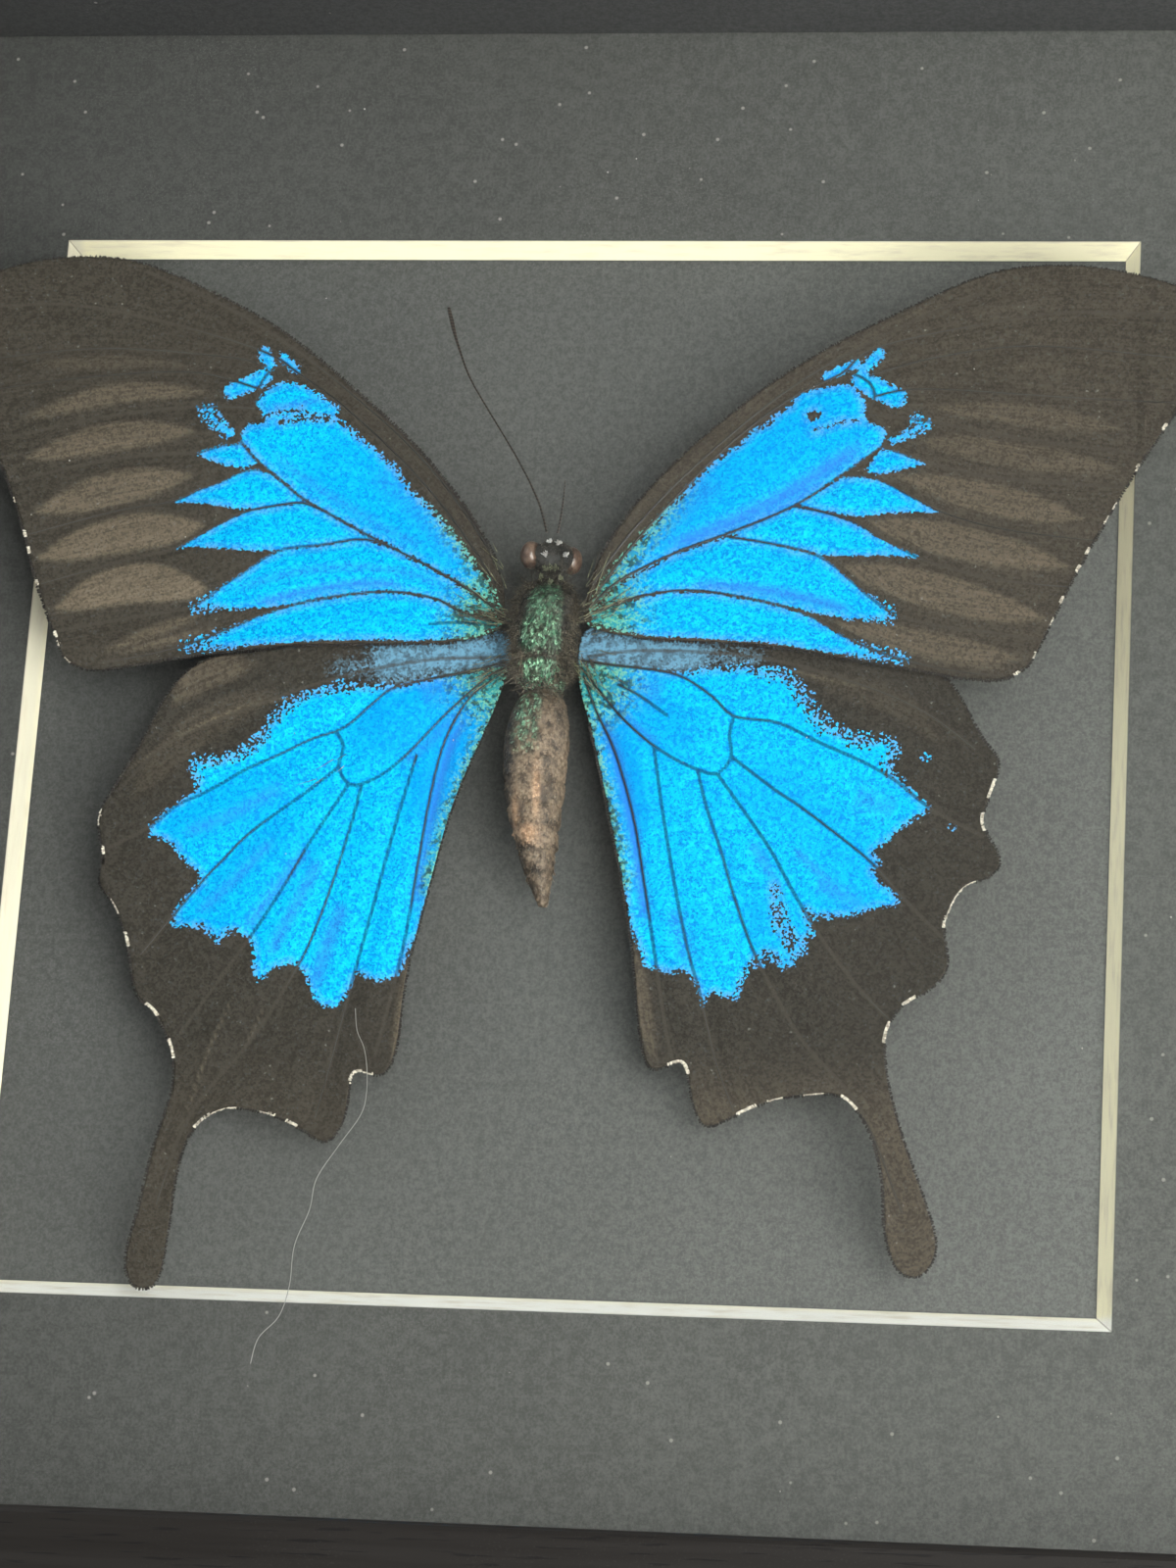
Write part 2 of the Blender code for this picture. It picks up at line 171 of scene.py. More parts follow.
def setValues(piece, name, values):
    kind, key = ("FLOAT", "value") if values.ndim == 1 else ("FLOAT_VECTOR", "vector")
    layer = piece.data.attributes.new(name, kind, "POINT")
    layer.data.foreach_set(key, np.ascontiguousarray(values, np.float32).ravel())


def giveTints(piece, tints):
    colours = piece.data.color_attributes.new("tint", "FLOAT_COLOR", "POINT")
    tints = np.column_stack((tints, np.ones(len(tints))))
    colours.data.foreach_set("color", tints.astype(np.float32).ravel())


def copyOfNode(nodeName, pieceName):
    # a merged copy of a CAD node's mesh, as a start for a finer one
    piece = bpy.data.objects.new(pieceName, frame["nodes"][nodeName].data.copy())
    bpy.context.scene.collection.objects.link(piece)
    piece.data.materials.clear()
    workOn(piece)
    bpy.ops.object.mode_set(mode="EDIT")
    bpy.ops.mesh.select_mode(type="FACE")
    bpy.ops.mesh.select_all(action="SELECT")
    bpy.ops.mesh.remove_doubles(threshold=1e-6)
    endEdit()
    return piece


def hand(piece, slot, *nodes):
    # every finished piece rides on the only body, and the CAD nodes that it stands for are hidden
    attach(piece, "root")
    if nodes:
        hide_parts(*nodes)
    return piece


# small helpers for curves on a sheet, all in millimetres

def throughPoints(points, step):
    # an open Catmull-Rom curve through the points, cut into even steps
    knots = np.array([points[0]] + list(points) + [points[-1]], float)
    curve = []
    for a, b, c, d in zip(knots, knots[1:], knots[2:], knots[3:]):
        cuts = max(1, round(np.linalg.norm(c - b) / step))
        for t in np.arange(cuts) / cuts:
            curve.append(0.5 * (2 * b + (c - a) * t + (2 * a - 5 * b + 4 * c - d) * t**2
                                + (3 * b - a - 3 * c + d) * t**3))
    curve.append(knots[-1])
    return np.array(curve)


def distanceTo(places, line):
    # how far each place is from a line of points, and how far along the line that is, from 0 to 1
    line = np.asarray(line, float)
    steps = np.linalg.norm(np.diff(line, axis=0), axis=1)
    before = np.concatenate(([0], np.cumsum(steps)))
    gap = np.full(len(places), 1e6)
    share = np.zeros(len(places))
    for start, end, run, step in zip(line, line[1:], before, steps):
        ahead = end - start
        t = np.clip((places - start) @ ahead / max(step * step, 1e-12), 0, 1)
        here = np.linalg.norm(places - start - t[:, None] * ahead, axis=1)
        closer = here < gap
        gap[closer] = here[closer]
        share[closer] = ((run + t * step) / before[-1])[closer]
    return gap, share


def insideOf(places, outline):
    outline = np.asarray(outline, float)
    inside = np.zeros(len(places), bool)
    for (x0, z0), (x1, z1) in zip(outline, np.roll(outline, -1, axis=0)):
        if z0 == z1:
            continue
        spans = (z0 > places[:, 1]) != (z1 > places[:, 1])
        inside ^= spans & (places[:, 0] < (x1 - x0) * (places[:, 1] - z0) / (z1 - z0) + x0)
    return inside


def depthIn(places, outline):
    # how far inside a closed outline each place is, less than nothing when it is outside
    gap, _ = distanceTo(places, list(outline) + [outline[0]])
    return np.where(insideOf(places, outline), gap, -gap)


def eased(values, low, high):
    t = np.clip((values - low) / (high - low), 0, 1)
    return t * t * (3 - 2 * t)


# small helpers for materials

def feed(tree, socket, value):
    if isinstance(value, bpy.types.NodeSocket):
        tree.links.new(value, socket)
    elif hasattr(socket.default_value, "__len__") and len(value) == 3 and len(socket.default_value) == 4:
        socket.default_value = (*value, 1)
    else:
        socket.default_value = value


def sums(tree, operation, *values):
    made = tree.nodes.new("ShaderNodeMath")
    made.operation = operation
    for socket, value in zip(made.inputs, values):
        feed(tree, socket, value)
    return made.outputs[0]


def times(tree, first, second):
    return sums(tree, "MULTIPLY", first, second)


def ease(tree, value, low, high, outLow=0.0, outHigh=1.0, way="SMOOTHSTEP"):
    made = tree.nodes.new("ShaderNodeMapRange")
    made.interpolation_type = way
    for socket, number in zip(made.inputs, (value, low, high, outLow, outHigh)):
        feed(tree, socket, number)
    return made.outputs[0]


def blend(tree, share, first, second, way="MIX"):
    made = tree.nodes.new("ShaderNodeMix")
    made.data_type = "RGBA"
    made.blend_type = way
    feed(tree, made.inputs[0], share)
    feed(tree, made.inputs[6], first)
    feed(tree, made.inputs[7], second)
    return made.outputs[2]


def noise(tree, place, scale, detail=2.0, roughness=0.5):
    made = tree.nodes.new("ShaderNodeTexNoise")
    feed(tree, made.inputs["Vector"], place)
    feed(tree, made.inputs["Scale"], scale)
    made.inputs["Detail"].default_value = detail
    made.inputs["Roughness"].default_value = roughness
    return made.outputs["Fac"]


def cellsIn(tree, place, scale):
    made = tree.nodes.new("ShaderNodeTexVoronoi")
    feed(tree, made.inputs["Vector"], place)
    feed(tree, made.inputs["Scale"], scale)
    return made


def stretched(tree, place, scale, turn=(0, 0, 0)):
    made = tree.nodes.new("ShaderNodeMapping")
    feed(tree, made.inputs["Vector"], place)
    made.inputs["Scale"].default_value = scale
    made.inputs["Rotation"].default_value = turn
    return made.outputs[0]


def partsOf(tree, vector):
    made = tree.nodes.new("ShaderNodeSeparateXYZ")
    feed(tree, made.inputs[0], vector)
    return made.outputs


def painted(tree, name, output="Fac"):
    made = tree.nodes.new("ShaderNodeAttribute")
    made.attribute_name = name
    return made.outputs[output]


def bumped(tree, shader, height, strength, distance):
    made = tree.nodes.new("ShaderNodeBump")
    made.inputs["Strength"].default_value = strength
    made.inputs["Distance"].default_value = distance
    feed(tree, made.inputs["Height"], height)
    tree.links.new(made.outputs[0], shader.inputs["Normal"])


def startMaterial(name, roughness, metallic=0.0, **others):
    # a material with its tree, its shader and the place on the piece in metres
    material = bpy.data.materials.new(name)
    material.use_nodes = True
    tree = material.node_tree
    shader = tree.nodes["Principled BSDF"]
    shader.inputs["Roughness"].default_value = roughness
    shader.inputs["Metallic"].default_value = metallic
    for socket, value in others.items():
        feed(tree, shader.inputs[socket.replace("_", " ")], value)
    return material, tree, shader, tree.nodes.new("ShaderNodeTexCoord").outputs["Object"]


def startGroup(name, inputs, outputs):
    tree = bpy.data.node_groups.new(name, "ShaderNodeTree")
    for label, kind, value in inputs:
        socket = tree.interface.new_socket(label, in_out="INPUT", socket_type=kind)
        if value is not None:
            socket.default_value = value
    for label, kind in outputs:
        tree.interface.new_socket(label, in_out="OUTPUT", socket_type=kind)
    return tree, tree.nodes.new("NodeGroupInput"), tree.nodes.new("NodeGroupOutput")


def useGroup(tree, group, **values):
    made = tree.nodes.new("ShaderNodeGroup")
    made.node_tree = group
    for label, value in values.items():
        feed(tree, made.inputs[label], value)
    return made.outputs


number, vector = "NodeSocketFloat", "NodeSocketVector"


def makeScaleGrain():
    # overlapping scales: a chance for each scale, softer patches, and their relief
    tree, given, result = startGroup(
        "scaleGrain", [("Vector", vector, None), ("Density", number, 6500.0)],
        [("Cell", number), ("Patch", number), ("Height", number)])
    cells = cellsIn(tree, given.outputs["Vector"], given.outputs["Density"])
    cells.inputs["Randomness"].default_value = 0.9
    tree.links.new(partsOf(tree, cells.outputs["Color"])[0], result.inputs["Cell"])
    tree.links.new(cells.outputs["Distance"], result.inputs["Height"])
    wide = times(tree, given.outputs["Density"], 0.3)
    tree.links.new(noise(tree, given.outputs["Vector"], wide, 3.0, 0.6), result.inputs["Patch"])
    return tree


def makePaperGrain():
    # fibres pressed into board: shade, relief and stray pale flecks
    tree, given, result = startGroup(
        "paperGrain", [("Vector", vector, None), ("Flecks", number, 0.5)],
        [("Shade", number), ("Height", number), ("Fleck", number)])
    place = given.outputs["Vector"]
    fine = noise(tree, place, 3600, 2, 0.7)
    coarse = noise(tree, place, 1400, 2, 0.6)
    cloud = noise(tree, place, 45, 2, 0.5)
    felt = sums(tree, "ADD", times(tree, fine, 0.6), times(tree, coarse, 0.4))
    tree.links.new(felt, result.inputs["Height"])
    tree.links.new(sums(tree, "ADD", times(tree, felt, 0.92), times(tree, cloud, 0.08)), result.inputs["Shade"])
    specks = cellsIn(tree, place, 420)
    near = ease(tree, specks.outputs["Distance"], 0.05, 0.09, 1, 0)
    chosen = sums(tree, "GREATER_THAN", given.outputs["Flecks"], partsOf(tree, specks.outputs["Color"])[1])
    tree.links.new(times(tree, near, chosen), result.inputs["Fleck"])
    return tree


def makeWoodGrain():
    # grain running along X of the vector that it is given
    tree, given, result = startGroup(
        "woodGrain", [("Vector", vector, None)], [("Grain", number), ("Pores", number)])
    slow = noise(tree, stretched(tree, given.outputs["Vector"], (9, 160, 160)), 1.0, 4, 0.6)
    wavy = noise(tree, stretched(tree, given.outputs["Vector"], (30, 900, 900)), 1.0, 3, 0.65)
    pores = noise(tree, stretched(tree, given.outputs["Vector"], (220, 3400, 3400)), 1.0, 2, 0.5)
    tree.links.new(sums(tree, "ADD", times(tree, slow, 0.55), times(tree, wavy, 0.45)), result.inputs["Grain"])
    tree.links.new(ease(tree, pores, 0.60, 0.68), result.inputs["Pores"])
    return tree


def makeSettledDust():
    # pale dust that gathers in patches, as a share from 0 to 1
    tree, given, result = startGroup(
        "settledDust", [("Vector", vector, None), ("Amount", number, 0.3)], [("Dust", number)])
    motes = noise(tree, given.outputs["Vector"], 5200, 2, 0.5)
    drifts = noise(tree, given.outputs["Vector"], 60, 3, 0.6)
    lying = times(tree, ease(tree, motes, 0.56, 0.70), ease(tree, drifts, 0.40, 0.70))
    tree.links.new(times(tree, lying, given.outputs["Amount"]), result.inputs["Dust"])
    return tree


scaleGrain = makeScaleGrain()
paperGrain = makePaperGrain()
woodGrain = makeWoodGrain()
settledDust = makeSettledDust()


def stainedRail(name, upright):
    # near-black brown stain over open grain, worn a little paler along the outer corners
    material, tree, shader, place = startMaterial(name, 0.42, Coat_Weight=0.12, Coat_Roughness=0.3)
    along = stretched(tree, place, (1, 1, 1), (0, math.pi / 2 if upright else 0, 0))
    wood = useGroup(tree, woodGrain, Vector=along)
    stain = blend(tree, wood["Grain"], railLooks["stainDark"], railLooks["stainPale"])
    stain = blend(tree, times(tree, wood["Pores"], 0.7), stain, railLooks["pore"])
    across, out, up = partsOf(tree, place)[:3]
    farthest = sums(tree, "MAXIMUM", sums(tree, "ABSOLUTE", across),
                    sums(tree, "ABSOLUTE", sums(tree, "SUBTRACT", up, middleZ)))
    outer = ease(tree, farthest, *railLooks["cornerAcross"])
    corner = times(tree, outer, ease(tree, sums(tree, "ABSOLUTE", out), *railLooks["cornerOut"]))
    rubbed = times(tree, corner, ease(tree, noise(tree, place, 240, 3, 0.6), 0.42, 0.62))
    stain = blend(tree, times(tree, rubbed, railLooks["wear"]), stain, railLooks["rubbed"])
    top = ease(tree, up, cadBox[1].z - 0.0005, cadBox[1].z - 0.0001)
    dust = useGroup(tree, settledDust, Vector=place, Amount=sums(tree, "MULTIPLY_ADD", top, 0.35, 0.06))
    feed(tree, shader.inputs["Base Color"], blend(tree, dust["Dust"], stain, railLooks["dust"]))
    feed(tree, shader.inputs["Roughness"], ease(tree, wood["Grain"], 0.3, 0.7, 0.34, 0.52))
    bumped(tree, shader, sums(tree, "SUBTRACT", wood["Grain"], wood["Pores"]), 0.25, 0.00006)
    return material


railLooks = {
    "stainDark": (0.013, 0.011, 0.009),
    "stainPale": (0.030, 0.025, 0.020),
    "pore": (0.004, 0.003, 0.003),
    "rubbed": (0.110, 0.066, 0.036),
    "dust": (0.30, 0.28, 0.25),
    "wear": 0.6,
    "cornerAcross": (0.0868, 0.0878), "cornerOut": (0.0150, 0.0160),  # metres from the middle, where wear begins
}


def boardPaper(name, face, pale, flecks, dustiness):
    # charcoal paper over board, with painted light: brighter towards the right and the bottom, darker towards the
    # top
    material, tree, shader, place = startMaterial(name, 0.86)
    grain = useGroup(tree, paperGrain, Vector=place, Flecks=flecks)
    colour = blend(tree, ease(tree, grain["Shade"], 0.36, 0.64), face, pale)
    across, _, up = partsOf(tree, place)[:3]
    # painted light and painted shade: the paper grows brighter towards the right and the bottom
    slope = sums(tree, "MULTIPLY_ADD", across, matLooks["paintedLightAcross"],
                 times(tree, sums(tree, "SUBTRACT", up, middleZ), matLooks["paintedLightUp"]))
    colour = blend(tree, 1.0, colour, sums(tree, "ADD", slope, 1.0), "MULTIPLY")
    colour = blend(tree, times(tree, grain["Fleck"], 0.5), colour, matLooks["fleck"])
    dust = useGroup(tree, settledDust, Vector=place, Amount=dustiness)
    colour = blend(tree, dust["Dust"], colour, matLooks["dust"])
    feed(tree, shader.inputs["Base Color"], colour)
    bumped(tree, shader, grain["Height"], 0.35, 0.00008)
    return material, tree, shader, place, colour


matLooks = {
    "face": (0.056, 0.058, 0.053),
    "pale": (0.094, 0.097, 0.089),
    "fleck": (0.42, 0.40, 0.36),
    "dust": (0.32, 0.31, 0.29),
    # the core's bottom and left colours are painted light and painted shade
    "core": (0.92, 0.86, 0.60), "paintedLightCoreLow": (0.93, 0.92, 0.85), "paintedShadeCoreLeft": (0.74, 0.70, 0.54),
    "coreShade": (0.66, 0.59, 0.44), "rim": (0.20, 0.18, 0.14), "mitre": (0.16, 0.13, 0.09),
    "backing": (0.072, 0.075, 0.070),
    "backingPale": (0.116, 0.120, 0.112),
    # painted shade: the spacers' liner is the mat's charcoal paper made darker
    "liner": (0.040, 0.041, 0.041),
    "linerPale": (0.070, 0.071, 0.070),
    "windowHalf": 0.0508, "bevelFrom": 0.0490, "bevelTo": 0.0500,
    # painted light: these two make the paper brighter towards the right and the bottom
    "paintedLightAcross": 4.8, "paintedLightUp": -1.6,  # how much brighter the paper grows for each metre
}


def matBoard():
    # the same paper on the face, and the cream core where the window is cut on a slant, painted whiter on the
    # bottom bevel as painted light and darker on the left bevel as painted shade
    material, tree, shader, place, paper = boardPaper(
        "mat_board_paper", matLooks["face"], matLooks["pale"], 0.10, 0.16)
    across, _, up = partsOf(tree, place)[:3]
    sideways = sums(tree, "ABSOLUTE", across)
    upwards = sums(tree, "ABSOLUTE", sums(tree, "SUBTRACT", up, middleZ))
    farthest = sums(tree, "MAXIMUM", sideways, upwards)
    inWindow = sums(tree, "LESS_THAN", farthest, matLooks["windowHalf"] - 0.00003)
    fibres = noise(tree, stretched(tree, place, (260, 2600, 260)), 1.0, 3, 0.6)
    # painted light on the bottom bevel and painted shade on the left bevel
    paintedLightBelow = ease(tree, up, middleZ - matLooks["bevelFrom"], middleZ - matLooks["bevelTo"])
    paintedShadeLeft = ease(tree, across, -matLooks["bevelFrom"], -matLooks["bevelTo"])
    core = blend(tree, paintedLightBelow, matLooks["core"], matLooks["paintedLightCoreLow"])
    core = blend(tree, paintedShadeLeft, core, matLooks["paintedShadeCoreLeft"])
    core = blend(tree, ease(tree, fibres, 0.45, 0.75, 0, 0.6), core, matLooks["coreShade"])
    rim = ease(tree, farthest, matLooks["windowHalf"] - 0.00016, matLooks["windowHalf"] - 0.00004)
    core = blend(tree, times(tree, rim, 0.35), core, matLooks["rim"])
    mitre = ease(tree, sums(tree, "ABSOLUTE", sums(tree, "SUBTRACT", sideways, upwards)), 0.00004, 0.00012, 1, 0)
    core = blend(tree, times(tree, mitre, 0.55), core, matLooks["mitre"])
    feed(tree, shader.inputs["Base Color"], blend(tree, inWindow, paper, core))
    return material


backLooks = {
    "chipDark": (0.105, 0.055, 0.028), "chipPale": (0.235, 0.135, 0.072),
    "stain": (0.075, 0.040, 0.022), "dust": (0.42, 0.36, 0.29),
    "mesh": 640,
    "zinc": (0.50, 0.51, 0.52), "zincTarnish": (0.20, 0.17, 0.14),
    "brass": (0.62, 0.47, 0.22), "brassTarnish": (0.22, 0.13, 0.06), "rolled": (0.30, 0.30, 0.31),
    "corkDark": (0.26, 0.15, 0.08), "corkPale": (0.52, 0.34, 0.20), "corkGap": (0.10, 0.055, 0.03),
}


def hardboardBack():
    material, tree, shader, place = startMaterial("back_panel_hardboard", 0.7)
    chips = noise(tree, place, 900, 5, 0.7)
    clouds = noise(tree, place, 40, 3, 0.6)
    colour = blend(tree, ease(tree, chips, 0.34, 0.68), backLooks["chipDark"], backLooks["chipPale"])
    colour = blend(tree, ease(tree, clouds, 0.35, 0.7, 0, 0.45), colour, backLooks["stain"])
    dust = useGroup(tree, settledDust, Vector=place, Amount=0.45)
    feed(tree, shader.inputs["Base Color"], blend(tree, dust["Dust"], colour, backLooks["dust"]))
    mesh = cellsIn(tree, place, backLooks["mesh"])
    mesh.feature = "DISTANCE_TO_EDGE"
    mesh.inputs["Randomness"].default_value = 0.12
    relief = sums(tree, "ADD", times(tree, mesh.outputs["Distance"], 0.9), times(tree, chips, 0.4))
    bumped(tree, shader, relief, 0.5, 0.0002)
    feed(tree, shader.inputs["Roughness"], ease(tree, chips, 0.3, 0.7, 0.6, 0.82))
    return material


def platedSteel(name, base, tarnish):
    material, tree, shader, place = startMaterial(name, 0.34, 1.0)
    rolled = noise(tree, stretched(tree, place, (120, 900, 2600)), 1.0, 3, 0.6)
    spots = noise(tree, place, 700, 4, 0.65)
    colour = blend(tree, ease(tree, rolled, 0.3, 0.7, 0, 0.35), base, backLooks["rolled"])
    colour = blend(tree, ease(tree, spots, 0.56, 0.72, 0, 0.8), colour, tarnish)
    feed(tree, shader.inputs["Base Color"], colour)
    feed(tree, shader.inputs["Roughness"], ease(tree, sums(tree, "MAXIMUM", rolled, spots), 0.4, 0.75, 0.26, 0.55))
    bumped(tree, shader, rolled, 0.12, 0.00005)
    return material


def corkPad():
    material, tree, shader, place = startMaterial("mounting_pad_cork", 0.9)
    grains = cellsIn(tree, place, 1500)
    shade = partsOf(tree, grains.outputs["Color"])[0]
    colour = blend(tree, shade, backLooks["corkDark"], backLooks["corkPale"])
    colour = blend(tree, ease(tree, grains.outputs["Distance"], 0.35, 0.7), colour, backLooks["corkGap"])
    feed(tree, shader.inputs["Base Color"], colour)
    bumped(tree, shader, grains.outputs["Distance"], 0.5, 0.0002)
    return material


glassLooks = {
    "clear": (0.985, 0.995, 0.99), "smeared": (0.955, 0.965, 0.96), "shadow": (0.93, 0.94, 0.935),
}


def windowGlass():
    # lamps shine straight through; the eye sees a clear pane with a faint film on it
    material, tree, shader, place = startMaterial("glazing_glass", 0.0, IOR=1.5, Transmission_Weight=1.0)
    smears = noise(tree, stretched(tree, place, (30, 30, 75), (0, 0.5, 0)), 1.0, 2, 0.6)
    film = blend(tree, ease(tree, smears, 0.50, 0.75), glassLooks["clear"], glassLooks["smeared"])
    feed(tree, shader.inputs["Base Color"], film)
    clear = tree.nodes.new("ShaderNodeBsdfTransparent")
    feed(tree, clear.inputs["Color"], glassLooks["shadow"])
    path = tree.nodes.new("ShaderNodeLightPath")
    either = tree.nodes.new("ShaderNodeMixShader")
    tree.links.new(path.outputs["Is Shadow Ray"], either.inputs[0])
    tree.links.new(shader.outputs[0], either.inputs[1])
    tree.links.new(clear.outputs[0], either.inputs[2])
    tree.links.new(either.outputs[0], tree.nodes["Material Output"].inputs["Surface"])
    return material


def dressNodes():
    # better finishes for the CAD nodes that stay
    lying = stainedRail("rail_stain_lying", False)
    standing = stainedRail("rail_stain_standing", True)
    paper = matBoard()
    backing = boardPaper("backing_board_paper", matLooks["backing"], matLooks["backingPale"], 0.10, 0.16)[0]
    liner = boardPaper("spacer_liner_paper", matLooks["liner"], matLooks["linerPale"], 0.03, 0.10)[0]
    zinc = platedSteel("frame_point_steel", backLooks["zinc"], backLooks["zincTarnish"])
    brass = platedSteel("hanger_brassed_steel", backLooks["brass"], backLooks["brassTarnish"])
    chosen = {
        "frame_rail_bottom": lying, "frame_rail_top": lying,
        "frame_rail_left": standing, "frame_rail_right": standing,
        "mat_board": paper, "backing_board": backing, "back_panel": hardboardBack(),
        "glazing": windowGlass(), "mounting_pad": corkPad(),
        "sawtooth_hanger": brass, "hanger_brad_left": brass, "hanger_brad_right": brass,
    }
    for side in ("top", "bottom", "left", "right"):
        chosen["spacer_" + side] = liner
        for count in (1, 2):
            chosen[f"frame_point_{side}_{count}"] = zinc
    for name, material in chosen.items():
        for slot in frame["nodes"][name].material_slots:
            slot.material = material


dressNodes()
print("frame, mat, glass and back dressed")


# the wings: outlines come from the CAD nodes, and what lies on them from these lists, in millimetres
# from the window's middle. veins: (radius at the root, radius at the end, points). spots and rubs, where
# blue is added or worn off: (half width, points). folds, streaks, dusts and cool: (half width, strength,
# points). soft: (x, z, reach, how much more the edge of the blue frays). whites: pale marks on the edge.
# wash and tailWash: how much tan lies over the whole wing, and towards its tail

wingLooks = {
    "spacing": 0.25,
    "thickness": 0.12,
    "arch": 0.22,
    "blueDeep": (0.0, 0.265, 0.740),
    "blueBright": (0.0, 0.550, 0.930),
    "edge": (0.030, 0.240, 0.680),
    "lace": (0.120, 0.340, 0.740),
    # painted shade: the deeper violet laid along the folds
    "paintedFoldViolet": (0.030, 0.170, 0.640),
    "green": (0.040, 0.300, 0.210),
    "greenPale": (0.190, 0.480, 0.270),
    "brown": (0.041, 0.036, 0.029),
    "brownPale": (0.063, 0.057, 0.046),
    "tan": (0.185, 0.150, 0.106),
    "dusty": (0.142, 0.320, 0.455),
    # painted shade and painted highlights of the crinkled blue scales, and painted shade in the gaps between the
    # green ones
    "paintedCrinkleShade": (0.0, 0.110, 0.330), "paintedGleam": (0.010, 0.720, 0.980), "paintedGreenGapShade": (0.020, 0.045, 0.035),
    "brownDeep": (0.020, 0.018, 0.015), "stray": (0.24, 0.23, 0.20),
    "veinOnBrown": (0.066, 0.058, 0.047), "veinOnBlue": (0.004, 0.022, 0.040),
    "underDark": (0.035, 0.024, 0.017), "underPale": (0.085, 0.062, 0.043),
    "underStreak": (0.20, 0.16, 0.115), "underPowder": (0.30, 0.27, 0.22),
    "hornDark": (0.014, 0.014, 0.013), "hornPale": (0.044, 0.041, 0.036),
    "veinShare": 0.66,  # how thick the veins stand, against the lists below
    "scaleDensity": 5200, "grainStretch": (0.16, 3.4, 1),
}

